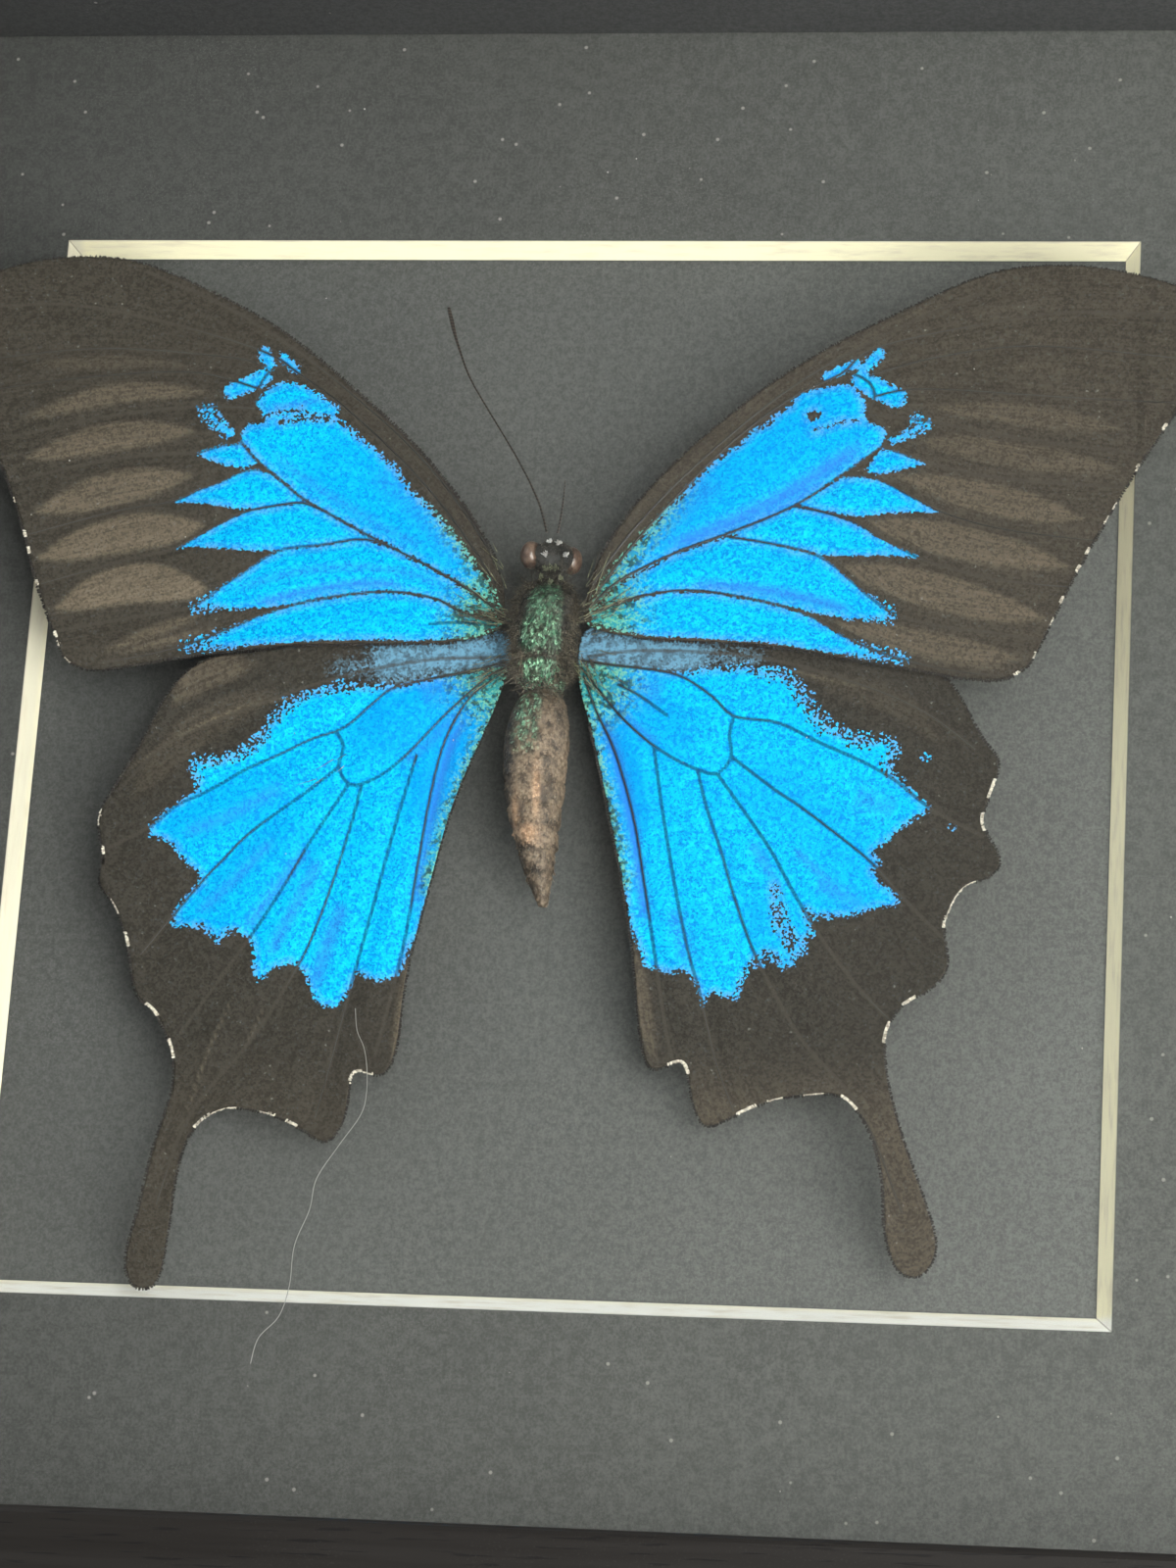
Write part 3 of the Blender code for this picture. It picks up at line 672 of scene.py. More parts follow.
forewingRight = {
    "node": "forewing_right", "root": (1.0, 11.6), "lift": 5.2, "droop": 0.0, "fray": 0.13, "wash": 0.17,
    "tailWash": 0.0,
    "veins": [
        (0.22, 0.06, [(2.6, 14.6), (5.2, 18.8), (9.2, 23.8), (14, 28.7), (19, 33.1), (24, 36.5), (30, 39.8),
            (37, 42.9)]),
        (0.20, 0.07, [(3.0, 13.8), (6.0, 18.4), (10, 23.4), (15, 28.8), (20, 32.8), (24.2, 35), (27, 37.4),
            (35, 39.4), (45, 40.8), (57, 40.2)]),
        (0.20, 0.08, [(2.5, 12.5), (5, 15), (10, 17.7), (15, 19.7), (20.5, 22.2), (24.5, 25), (28.3, 27.9)]),
        (0.13, 0.05, [(28.3, 27.9), (31, 26.9), (34.5, 25.7), (40, 24.7), (50, 23.9)]),
        (0.13, 0.05, [(24.5, 25), (26, 25.1), (28, 24.8), (31.5, 22.9), (35, 21.2), (40, 19.9), (47.6, 18.9)]),
        (0.14, 0.05, [(20.5, 22.2), (23, 21.7), (26, 20.7), (28.5, 19.2), (30.5, 18.1), (33, 16.8), (39, 15.2),
            (45.5, 14.5)]),
        (0.15, 0.05, [(14.8, 19.2), (18.5, 18.6), (23, 17.4), (26, 15.1), (28, 13.3), (30.5, 11.7), (34, 10.8),
            (39, 10.1), (43.1, 9.5)]),
        (0.18, 0.05, [(3, 12), (6, 13.2), (9.5, 14), (13, 14), (17, 13.3), (20, 12.6), (22.5, 11.7), (25, 10.2),
            (27.5, 8.9), (30.5, 7.8), (35, 6.7), (40, 6.1)]),
        (0.09, 0.05, [(28.3, 27.9), (28.9, 29.1), (28.1, 30.3), (27, 31), (27.4, 32.8), (26.8, 34.2), (25, 35.2)]),
        (0.10, 0.05, [(27, 31), (33, 30.2), (40, 28.7), (52.1, 27.0)]),
        (0.10, 0.05, [(27.4, 32.8), (32, 33.5), (45, 32.6), (54.9, 32)]),
        (0.10, 0.05, [(26.8, 34.8), (33, 36.6), (42, 37.6), (56.4, 36.1)]),
    ],
    "blue": [
        [(2.5, 12.6), (5, 15), (10, 17.7), (15, 19.7), (20.5, 22.2), (24.5, 25), (28.2, 27.9), (28.6, 29),
            (28.2, 29.8), (26.9, 30.2), (26.5, 31), (26.6, 32), (26, 33), (25.5, 33.8), (24.5, 33.9), (22.5, 33.6),
            (20.3, 33), (19.8, 31.8), (18.5, 31), (18, 30.2), (16.5, 29.4), (15.5, 28.3), (14.5, 27.6), (13, 26.3),
            (12, 25.3), (10.5, 23.5), (9.5, 22.5), (8, 20.7), (6.5, 19), (5, 17), (4, 15.5), (3.3, 14.2)],
        [(28.2, 27.6), (29.5, 27.4), (31, 26.8), (32.2, 26.2), (30, 25.5), (27.6, 25.2), (26.9, 25.7)],
        [(20.7, 22.3), (22.8, 23.6), (24.6, 24.8), (26, 25), (28, 24.7), (29.5, 24.1), (31.5, 22.8), (33.7, 21.6),
            (30, 21.5), (27, 21.2), (25.5, 21.3), (23, 21.8)],
        [(14.9, 19.5), (17.8, 20.9), (20.5, 22.1), (23, 21.7), (26, 20.6), (28.5, 19), (30.5, 18), (32.4, 17.2),
            (28.6, 17.4), (26, 17.3), (23.4, 17.5), (20, 18.3), (16.5, 18.9)],
        [(2.7, 12.3), (5, 14.8), (10, 17.5), (14.8, 19.3), (18.5, 18.6), (23, 17.4), (24.5, 16.4), (26, 15),
            (27.5, 13.8), (29, 12.9), (29.7, 12.4), (29.8, 11.5), (28, 11.3), (26, 11.3), (24.5, 11.7), (23, 12),
            (21, 12.5), (17, 13.4), (13, 14.1), (9.5, 14.1), (6, 13.3)],
        [(2.6, 12), (6, 13.1), (9.5, 13.9), (13, 13.9), (17, 13.2), (20, 12.5), (22.5, 11.6), (25, 10.1),
            (27.5, 8.9), (30.9, 7.6), (28, 7.7), (25, 8.1), (22, 8.6), (19, 9.1), (14, 9.4), (8, 9.7), (5, 10.3),
            (2.6, 10.8)],
    ],
    "spots": [(0.5, [(26.2, 35.4), (27.6, 36.9)]), (0.42, [(22.9, 34.7), (25.5, 36.0)]),
        (0.95, [(26.2, 34.3), (29.3, 32.6)]), (0.34, [(29.2, 28.4), (32.2, 29.9)]),
        (0.45, [(31.2, 30.5), (31.9, 29.8)])],
    "rubs": [(0.42, [(21.8, 30.8), (22.1, 30.9)]), (0.10, [(22, 29.3), (24, 30.1), (26, 30.4)])],
    "soft": [(30.2, 7.8, 3.2, 0.9), (29.6, 11.8, 1.8, 0.55), (32, 30, 2.0, 0.5), (28, 35.5, 4, 0.12),
        (4, 15, 3, 0.3), (8, 21, 4, 0.35), (13, 26.5, 4, 0.32), (18, 30.8, 3, 0.28), (3, 11, 3, 0.25)],
    "folds": [(0.75, 0.95, [(8, 17.6), (14, 20.2), (20, 23.4), (24, 26.2), (27.6, 28.8)]),
        (0.45, 0.85, [(15.5, 19.9), (20.5, 22.8), (23.5, 24.9)]),
        (0.50, 0.90, [(11, 14.7), (15, 14.5), (19, 14.0), (23, 13.1), (27, 11.9)]),
        (0.40, 0.60, [(21, 22), (24.5, 21.2), (27, 19.9)]), (1.2, 0.35, [(4, 15.6), (9, 20.3), (14, 25.2)])],
    "streaks": [(1.0, 0.35, [(31, 7.6), (36, 7.2), (40.5, 6.8)]), (1.5, 0.55, [(25, 11), (33, 9.1), (41.2, 7.6)]),
        (1.9, 0.62, [(25, 16.4), (34, 13.9), (43.2, 11.4)]), (1.8, 0.60, [(27.5, 20.6), (36, 18.6), (45.2, 16.4)]),
        (1.7, 0.55, [(30, 25), (38, 22.9), (46.4, 20.9)]), (1.6, 0.42, [(31.5, 28.4), (40, 27.2), (49.6, 25.4)]),
        (1.3, 0.40, [(32.5, 31.6), (41, 30.9), (50, 29.3)]), (0.9, 0.22, [(35.5, 35.6), (42, 35.4), (48.5, 34.8)]),
        (0.5, 0.45, [(28, 39.2), (33, 41.8)])],
    "dusts": [],
    "cool": [(5.5, 0.55, [(6, 18), (14, 25.5), (21, 31.5)]), (4.5, 0.45, [(17, 26), (24, 30)]),
        (3, 0.3, [(22, 33), (26, 32)])],
    "whites": [(41.1, 6.3), (42.4, 8.1), (44, 11.2), (44.9, 13.2), (46.2, 16.2), (47, 17.8), (48.5, 20.8),
        (49.1, 22.2), (51, 25.8), (53.4, 29.7)],
}

forewingLeft = {
    "node": "forewing_left", "root": (-3.8, 11.2), "lift": 5.2, "droop": 0.0, "fray": 0.13, "wash": 0.08,
    "tailWash": 0.0,
    "veins": [
        (0.22, 0.06, [(-5.9, 15.6), (-8, 19.2), (-11.4, 23.8), (-15.3, 28), (-20, 32.1), (-26, 36.8), (-33, 41.1),
            (-41, 44.6)]),
        (0.20, 0.07, [(-6.2, 14.6), (-9.3, 19), (-13, 23.6), (-17.6, 28.2), (-22, 32), (-26, 34.8), (-29.5, 36.9),
            (-38, 39.4), (-48, 41.2), (-57.5, 40.7)]),
        (0.20, 0.08, [(-5.6, 11.8), (-8.7, 14), (-12.1, 15.9), (-16.1, 17.9), (-18.7, 19.2), (-22.4, 21.2),
            (-24.7, 22.5), (-27.3, 24.6), (-29.1, 26), (-30.8, 27.9)]),
        (0.13, 0.05, [(-30.8, 27.7), (-32.4, 27.5), (-34.9, 26.7), (-38, 26.5), (-44, 25.6), (-51.6, 23.5)]),
        (0.13, 0.05, [(-27.6, 24.8), (-29, 25.2), (-30.5, 24.9), (-32.4, 23.9), (-34.3, 23.1), (-36.7, 21.9),
            (-42, 20.8), (-49.7, 18.4)]),
        (0.14, 0.05, [(-22.4, 21.2), (-24.5, 22), (-27, 21.7), (-29.9, 21), (-32.1, 19.8), (-33.9, 18.7),
            (-36.3, 17.2), (-41, 15.9), (-48.1, 13.6)]),
        (0.15, 0.05, [(-16.1, 17.9), (-18.7, 18.6), (-22.8, 17.9), (-25.8, 17.5), (-27.6, 16.6), (-29.5, 15.1),
            (-31.3, 13.8), (-34, 11.7), (-39, 10.6), (-46.3, 9)]),
        (0.18, 0.05, [(-5.8, 10.9), (-9.1, 11.8), (-11.3, 12.9), (-13.6, 13.4), (-16.1, 13.6), (-19.1, 13.3),
            (-22.4, 12.7), (-25, 12), (-27.3, 11.2), (-29.1, 10.3), (-31, 9.4), (-34.3, 8), (-38, 6.9),
            (-42, 6.1)]),
        (0.14, 0.05, [(-5.8, 10.6), (-9, 10.8), (-12, 10.6)]),
        (0.09, 0.05, [(-30.8, 27.9), (-31, 29.2), (-30.2, 30.3), (-29.8, 31.2), (-29.6, 33.2), (-28.8, 34.8),
            (-27.4, 35.6)]),
        (0.10, 0.05, [(-29.8, 31.2), (-36, 31.2), (-44, 30), (-53.5, 27.6)]),
        (0.10, 0.05, [(-29.6, 33.2), (-36, 34.7), (-46, 34), (-56.3, 32.3)]),
        (0.10, 0.05, [(-29, 35.4), (-33, 36.3), (-45, 36.9), (-58.2, 35.2)]),
    ],
    "blue": [
        [(-5.6, 12.2), (-8.7, 14.1), (-12.1, 16), (-16.1, 18), (-18.7, 19.3), (-22.4, 21.3), (-24.7, 22.6),
            (-27.3, 24.7), (-29.1, 26.1), (-30.7, 27.9), (-30.8, 28.8), (-30.2, 29.6), (-28.7, 29.7),
            (-29.1, 30.9), (-29.7, 31.8), (-28.7, 33.1), (-27.3, 33.8), (-25.4, 33.6), (-23.6, 32.5),
            (-21.9, 31.4), (-22.1, 30.5), (-21.3, 29.7), (-19.9, 28.6), (-18, 27.1), (-16.1, 25.3), (-14.7, 23.4),
            (-12.4, 21.4), (-10.6, 19.4), (-9.1, 17.5), (-8, 16), (-6.9, 14.6)],
        [(-30.6, 27.7), (-32.4, 27.5), (-33.9, 27), (-34.9, 26.6), (-33.6, 26), (-32.1, 25.5), (-30.2, 25.3),
            (-29.1, 25.8)],
        [(-22.6, 21.3), (-24.7, 22.4), (-27.3, 24.5), (-29, 25.2), (-30.5, 24.9), (-32.4, 23.8), (-34.3, 23.1),
            (-35.8, 22.3), (-36.7, 21.7), (-35, 21.8), (-32.8, 21.6), (-30.6, 21.3), (-28.4, 21.4), (-24.7, 21.9)],
        [(-16.4, 18.1), (-18.7, 19.1), (-22.4, 21.1), (-24.5, 22), (-27, 21.6), (-29.9, 21), (-32.1, 19.7),
            (-33.9, 18.6), (-35.9, 17.2), (-34.3, 17.5), (-31.3, 17.3), (-28.7, 17.2), (-26.5, 17.3),
            (-22.8, 17.9), (-18.7, 18.5)],
        [(-5.6, 11.8), (-8.7, 13.9), (-12.1, 15.8), (-16.1, 17.8), (-18.7, 18.6), (-22.8, 17.8), (-25.8, 17.4),
            (-27.6, 16.6), (-29.5, 15.1), (-31.3, 13.8), (-32.4, 12.9), (-33.9, 11.6), (-32.1, 11.6),
            (-29.9, 11.5), (-27.3, 11.8), (-25, 12.1), (-22.4, 12.8), (-19.1, 13.4), (-16.1, 13.7), (-13.6, 13.5),
            (-11.3, 13), (-9.1, 11.9)],
        [(-5.6, 11), (-9.1, 11.7), (-11.3, 12.8), (-13.6, 13.3), (-16.1, 13.5), (-19.1, 13.2), (-22.4, 12.6),
            (-25, 11.9), (-27.3, 11.1), (-29.1, 10.3), (-31, 9.4), (-32.4, 8.6), (-34.3, 7.9), (-32, 7.6),
            (-30, 7.8), (-28, 8.1), (-25, 8.4), (-22, 8.7), (-16, 8.9), (-13, 8.9), (-10, 9.2), (-8, 9.5),
            (-5.9, 10.2)],
    ],
    "spots": [(0.5, [(-29.4, 36.8), (-28.7, 35.5)]), (0.4, [(-27.6, 36.4), (-26.2, 35.1)]),
        (0.75, [(-29.2, 34.3), (-32, 32.9)]), (0.45, [(-32, 28.6), (-34.3, 30.8)]),
        (0.3, [(-33.9, 31.1), (-34.8, 30.9)])],
    "rubs": [(0.16, [(-27.2, 29.8), (-24.5, 30.4), (-21.6, 30.2)]),
        (0.12, [(-29.3, 30), (-27.6, 30.8), (-25.4, 31.1)])],
    "soft": [(-33.6, 8, 3.0, 0.8), (-33.5, 11.6, 2.0, 0.45), (-34, 30, 2.2, 0.55), (-28.5, 35.5, 4, 0.12),
        (-7.5, 15.5, 3, 0.3), (-11.5, 20.5, 4, 0.34), (-16, 25.5, 4, 0.34), (-20.5, 29.4, 3, 0.26),
        (-6, 11, 3, 0.25), (-25, 30.3, 2.4, 0.3)],
    "folds": [(0.45, 0.40, [(-9.5, 13.2), (-13, 15), (-18, 15.8), (-23, 15.5), (-28, 14.2), (-31.5, 12.8)]),
        (0.40, 0.90, [(-14, 14.3), (-19, 14.3), (-24, 13.3), (-29, 11.9)]),
        (0.5, 0.40, [(-12, 17.3), (-18, 20.3), (-24, 23.9), (-28.6, 27.4)]),
        (1.2, 0.30, [(-9, 16.3), (-13.5, 21), (-18.5, 26)]),
        (0.45, 0.55, [(-23.4, 32.2), (-26, 31.6), (-28.8, 31.2)])],
    "streaks": [(0.7, 0.60, [(-41.8, 7.1), (-36, 9.7), (-32.6, 11)]),
        (0.65, 0.60, [(-40.4, 6.9), (-34, 8.8), (-31, 9.8)]),
        (2.1, 0.95, [(-46.2, 11.2), (-40, 13.8), (-32.6, 13.2)]),
        (2.0, 0.85, [(-48.3, 16.1), (-41, 18.6), (-33.0, 19.2)]),
        (1.8, 0.68, [(-49, 20.6), (-42, 23), (-35.4, 24.4)]),
        (1.6, 0.60, [(-50.4, 25.8), (-43, 28), (-35.4, 28.8)]),
        (1.2, 0.50, [(-51, 29.8), (-43, 32.4), (-34.5, 32.7)]),
        (0.22, 0.5, [(-57, 40.6), (-48, 41.3), (-38, 39.5), (-31, 37.2)]),
        (0.18, 0.6, [(-56, 35.6), (-45, 37), (-33, 36.4)]), (0.9, 0.25, [(-52, 35), (-44, 35.6), (-36, 35.3)])],
    "dusts": [],
    "cool": [(5, 0.45, [(-8, 16), (-14, 22), (-20, 27)]), (4, 0.35, [(-16, 20), (-22, 25)])],
    "whites": [(-46.4, 8.6), (-46.0, 7.8), (-44.8, 6.4), (-48.8, 13.6), (-49.5, 16.8), (-50.1, 18.3),
        (-51.3, 21.7), (-53.3, 26.4)],
}

hindwingRight = {
    "node": "hindwing_right", "root": (0.6, 7.0), "lift": 4.5, "droop": 0.012, "fray": 0.30, "wash": 0.0,
    "tailWash": 0.36,
    "veins": [
        (0.17, 0.07, [(1.9, 7.6), (5, 7.2), (10.5, 6.4), (14, 4.3), (16, 2.5), (20, 1.9), (24, 0), (28, -1.8),
            (31, -3.6), (34, -6), (38.6, -8.4)]),
        (0.15, 0.07, [(1.9, 7), (4.4, 4), (6, 2.2), (8.5, 0), (11, -1.6), (13, -2.5), (14.8, -2.9), (16, -1.3),
            (15.7, 0.6), (16, 2.5)]),
        (0.10, 0.04, [(5.4, 5.4), (7.5, 4.3), (10, 2.5)]),
        (0.11, 0.05, [(16, -1.3), (20, -4.3), (22, -5.6), (25, -7.8), (29, -11), (32, -14.3), (35.8, -18)]),
        (0.10, 0.05, [(14.8, -2.9), (17.5, -6.5), (20, -10), (22, -13.5), (24.6, -17.6), (28, -22), (31, -25)]),
        (0.10, 0.05, [(13, -2.5), (14, -6), (15.5, -10), (17, -14.5), (19.3, -20), (23.5, -27), (28.8, -33),
            (32.8, -42)]),
        (0.10, 0.05, [(9, -0.6), (10, -6), (11.5, -13), (13, -19), (14.3, -23), (16, -29), (17.8, -33.4)]),
        (0.14, 0.06, [(2.2, 6.2), (3.5, 3), (5.5, -1), (7.5, -7), (8.8, -13), (10, -19), (11.4, -26), (12.2, -29)]),
        (0.10, 0.05, [(2.4, 8), (8, 8.6), (18, 8), (27, 5.6), (33, 3), (37.6, -0.4)]),
    ],
    "blue": [
        [(1.9, 7.2), (5, 7.3), (8, 7), (10.5, 6.5), (13, 6.8), (17, 7), (19, 6.5), (20.5, 6.3), (21.3, 5.5),
            (22, 4.7), (22.8, 3.5), (23, 2.7), (24.3, 1.7), (25.3, 1), (26.5, 0.4), (28, 0.2), (29.5, 0.4),
            (30.4, 0), (30.5, -1), (30, -2.5), (31.5, -3.7), (32.5, -4.6), (33.9, -5.9), (32.5, -6.9),
            (31.5, -7.7), (30.5, -8.7), (29.5, -9.5), (29, -10), (29.6, -11), (29, -11.6), (30, -13), (31, -13.7),
            (31.5, -14.3), (31, -14.9), (29.5, -15), (28, -15.6), (26, -15.9), (24, -15.9), (23.3, -15.3),
            (24, -17), (24, -17.7), (23, -18.2), (23.3, -19), (22.7, -19.6), (22.3, -20.5), (21.5, -20.5),
            (20.7, -19.5), (20, -19.2), (19.7, -20.3), (19, -19.7), (18.8, -20.5), (18, -21.5), (17.8, -22.5),
            (17.5, -23.4), (16.3, -23.2), (15.5, -22.9), (14.8, -23.3), (14.6, -24), (14.2, -22.8), (13.7, -21.6),
            (12.8, -21), (11.5, -21.2), (10.3, -20.8), (9.3, -20.7), (8.9, -19.3), (8.0, -17.5), (6.8, -13),
            (5.1, -6.5), (3.0, 1.2), (1.7, 5.2)],
    ],
    "spots": [(0.15, [(33.3, -1.2), (33.5, -1.3)]), (0.15, [(35.7, -7.5), (35.9, -7.6)])],
    "rubs": [(0.28, [(20.8, -15.2), (21.2, -16.9)]), (0.22, [(21.9, -17.6), (22.1, -18.6)]),
        (0.16, [(20.4, -13.4), (20.6, -14.2)])],
    "soft": [(14, 7, 3.5, 0.22), (20, 6.2, 3.0, 0.8), (23.5, 2.6, 3.0, 0.9), (27.5, 0.4, 3.0, 0.75),
        (30.4, -1.5, 2, 0.5), (21.5, -16.5, 3.2, 0.45), (19, -20, 3, 0.2), (2, 6, 3, 0.2), (4, 0, 3, 0.2),
        (7, 7.2, 4.5, -0.18)],
    "folds": [(0.55, 1.0, [(3.4, 3.6), (5.4, -0.9), (7.1, -6.5), (8.3, -12), (9.4, -18)]),
        (1.6, 0.45, [(2.5, 6.6), (6, 5.6), (10, 4.4)]), (0.5, 0.6, [(4.6, 4.2), (7, 1.6), (9.6, -0.4)]),
        (0.5, 0.5, [(18, -9), (21, -13.5)]), (1.2, 0.35, [(27, -4.6), (31, -6.4)]),
        (0.8, 0.4, [(11.5, -15), (13.4, -21)]), (0.8, 0.45, [(24, -12.5), (28.5, -15.2)]),
        (0.4, 0.5, [(21.8, -9.6), (27, -14.4)])],
    "streaks": [(0.9, 0.45, [(8.3, -19), (9.3, -24.5), (10.6, -29)]), (0.20, 0.6, [(20, 7), (28, 5)]),
        (1.4, 0.14, [(22, 6.4), (30, 4), (35, 0)])],
    "dusts": [(2.5, 0.80, [(2.5, 8.6), (8, 8.5), (12, 8.2)]), (1.4, 0.42, [(12, 8.2), (17.5, 7.8)])],
    "cool": [(5, 0.9, [(2, 6.4), (4, 1), (6, -6)]), (4.5, 0.5, [(5, 4), (10, 1)]), (4, 0.4, [(20, -4), (28, -11)]),
        (3, 0.4, [(26, -14), (31, -14)]), (4, 0.35, [(20, -16), (22, -19)])],
    "whites": [(39.3, -3.5), (39.1, -4.6), (38.4, -6.6), (38.5, -7.6), (37.7, -12.6), (36.6, -13.5), (36.1, -14.2),
        (35.7, -15), (35.4, -16.4), (33.0, -23.1), (32.4, -23.5), (31.2, -25.6), (30.8, -26.8), (28.3, -32.8),
        (27.4, -32.1), (25.3, -31.6), (24.3, -31.9), (21.7, -32.1), (21.0, -32.3), (19.4, -32.9), (18.4, -33.5),
        (13.6, -29.9), (13, -29.3), (12.2, -29.4)],
}

hindwingLeft = {
    "node": "hindwing_left", "root": (-3.6, 7.0), "lift": 4.5, "droop": 0.045, "fray": 0.28, "wash": 0.0,
    "tailWash": 0.1,
    "veins": [
        (0.16, 0.07, [(-5, 7.4), (-8, 6.5), (-14.5, 4.9), (-16.6, 3.4), (-18.6, 1.4), (-20, 0.5), (-22, -0.2),
            (-25, -1.8), (-28, -3.3), (-30, -4.6), (-32, -5.8), (-34, -6.8), (-36.2, -8.8), (-40, -11)]),
        (0.15, 0.07, [(-5, 6.8), (-6.5, 6), (-10, 2.5), (-13, -1), (-15, -3), (-17, -4.2), (-18.5, -4.4),
            (-19.5, -2.8), (-19.2, -0.8), (-20, 0.5)]),
        (0.11, 0.05, [(-19.5, -2.8), (-22, -5), (-27, -9), (-29.5, -11.8), (-31.6, -14.3), (-36.2, -20.6)]),
        (0.10, 0.05, [(-18.5, -4.4), (-20, -7), (-22, -10.5), (-24, -14.5), (-26.5, -18.9), (-32, -27.6)]),
        (0.10, 0.05, [(-17.3, -4.4), (-18, -8), (-19.2, -13), (-20.5, -17.5), (-22, -21.4), (-25.6, -28),
            (-30.6, -35), (-33, -43)]),
        (0.10, 0.05, [(-12.5, -1.5), (-14, -8), (-15.5, -15.5), (-16.8, -21.8), (-18.2, -29), (-19.4, -34.8)]),
        (0.14, 0.06, [(-5.4, 6.2), (-8, 4), (-10, 0), (-11, -5), (-11.8, -12), (-12.4, -18), (-13.4, -24),
            (-14.4, -29)]),
        (0.10, 0.05, [(-5.4, 7.8), (-12, 7.4), (-20, 5.6), (-28, 2.5), (-33, 0.2), (-36, -1.6), (-39.4, -5.5)]),
    ],
    "blue": [
        [(-5.2, 6.7), (-9, 6.3), (-12, 5.5), (-14.5, 4.9), (-17, 4.8), (-20, 4.6), (-21.5, 4.3), (-23, 3.8),
            (-24, 3.2), (-25, 2.5), (-25.5, 1.5), (-26.3, 0.8), (-26.5, -0.2), (-27.5, -1.2), (-28.5, -1.8),
            (-30, -2.4), (-31.5, -2.8), (-32.7, -2.6), (-32.8, -3.8), (-32.2, -4.6), (-32.3, -5.3), (-33.5, -6.2),
            (-35, -7.4), (-36.2, -8.6), (-36.2, -9.7), (-35, -10), (-34, -10.5), (-33.3, -11.5), (-32.5, -12.3),
            (-31.5, -13), (-31.3, -13.8), (-32.5, -15), (-33.5, -16.7), (-33.6, -17.8), (-32, -18), (-31, -17.8),
            (-30, -18.5), (-29.2, -19.3), (-28.7, -18.5), (-28, -18.1), (-27, -18.6), (-26.3, -18.9), (-26, -20),
            (-25.8, -21.5), (-25.4, -22.7), (-24.8, -22.3), (-24, -21.5), (-22.8, -21), (-22, -21), (-21.2, -21.8),
            (-20.8, -23), (-20.2, -24), (-19.5, -24.8), (-18.2, -24.7), (-17.5, -24), (-17, -22.8), (-16.5, -21.6),
            (-15.8, -22), (-14.8, -22.4), (-13.8, -22), (-12.8, -21.8), (-12.4, -20.5), (-12, -19), (-11.2, -17.8),
            (-10.4, -13.5), (-8.7, -5.8), (-6.1, 1.5), (-4.9, 5.2)],
    ],
    "spots": [],
    "rubs": [],
    "soft": [(-12, 5.8, 3, 0.2), (-19, 4.6, 3.0, 0.7), (-24.5, 2.6, 2.6, 0.9), (-28, -1.4, 2.6, 0.7),
        (-32, -3, 2.2, 0.6), (-5.5, 6, 3, 0.2), (-7.4, 0, 3, 0.2), (-29, -18.4, 3, 0.15), (-10, 6.3, 4.5, -0.18)],
    "folds": [(0.5, 0.9, [(-7.6, 3.4), (-9.4, -0.4), (-10.6, -6), (-11.4, -12), (-12, -17)]),
        (1.5, 0.5, [(-6, 6.2), (-10, 5.4), (-13, 4.2)]), (0.5, 0.5, [(-8.2, 3.4), (-11.2, 0), (-14, -2.8)]),
        (0.6, 0.45, [(-24, -4.4), (-29, -7.6), (-33.6, -9.6)]),
        (0.5, 0.5, [(-24.6, -9.4), (-28.6, -14), (-31.6, -17)]),
        (0.6, 0.6, [(-20.4, -11), (-22.6, -16), (-24.8, -21)]),
        (0.7, 0.7, [(-18, -15), (-19.6, -20), (-20.2, -23.6)]),
        (0.5, 0.7, [(-21.5, -10), (-24.5, -14.5), (-27, -18.5)])],
    "streaks": [(0.9, 0.55, [(-11.8, -20), (-12, -25), (-12.7, -29.6)]),
        (0.12, 0.5, [(-27.4, -24), (-29.6, -30), (-31.2, -36)]), (0.12, 0.4, [(-24.6, -25), (-26.2, -29)]),
        (0.22, 0.8, [(-23, 3.7), (-28, 2.7), (-33, 0.4), (-38.5, -3.4)]),
        (1.6, 0.42, [(-28, 6.6), (-32.5, 5.4), (-35, 2.6)]), (1.8, 0.18, [(-26, 4), (-33, 0), (-38, -6)])],
    "dusts": [(2.3, 0.80, [(-5.4, 8.3), (-11, 7.7), (-15.5, 7.1)]), (1.2, 0.42, [(-15.5, 7.0), (-20, 6.2)])],
    "cool": [(5, 0.9, [(-5, 6.2), (-8, 2), (-10, -5)]), (5, 0.7, [(-9, 5), (-15, 1)]),
        (4, 0.45, [(-26, -6), (-33, -8)]), (4, 0.4, [(-24, -10), (-30, -16)])],
    "whites": [(-40.9, -7.8), (-40.6, -8.8), (-40.2, -11.2), (-39.1, -15.9), (-38.5, -16.6), (-37.4, -18.9),
        (-37.3, -19.6), (-35, -25.3), (-34.3, -25.9), (-32.9, -28.5), (-32.4, -29.6), (-30, -35.8), (-29.4, -35.1),
        (-28.8, -34.6), (-27.9, -34.2), (-26.8, -34.3), (-24.0, -34.5), (-23.2, -34.6), (-21.6, -35.0),
        (-21.0, -35.3), (-16.8, -31.4), (-16.3, -30.6), (-15.6, -30.2), (-14.7, -30.6)],
}


def wingLift(wing, x, z):
    # the CAD wing's own slope: it rises from the body and droops towards the tail
    return wing["lift"] + 0.03 * np.abs(x + 1.4) - wing["droop"] * np.maximum(8 - z, 0)


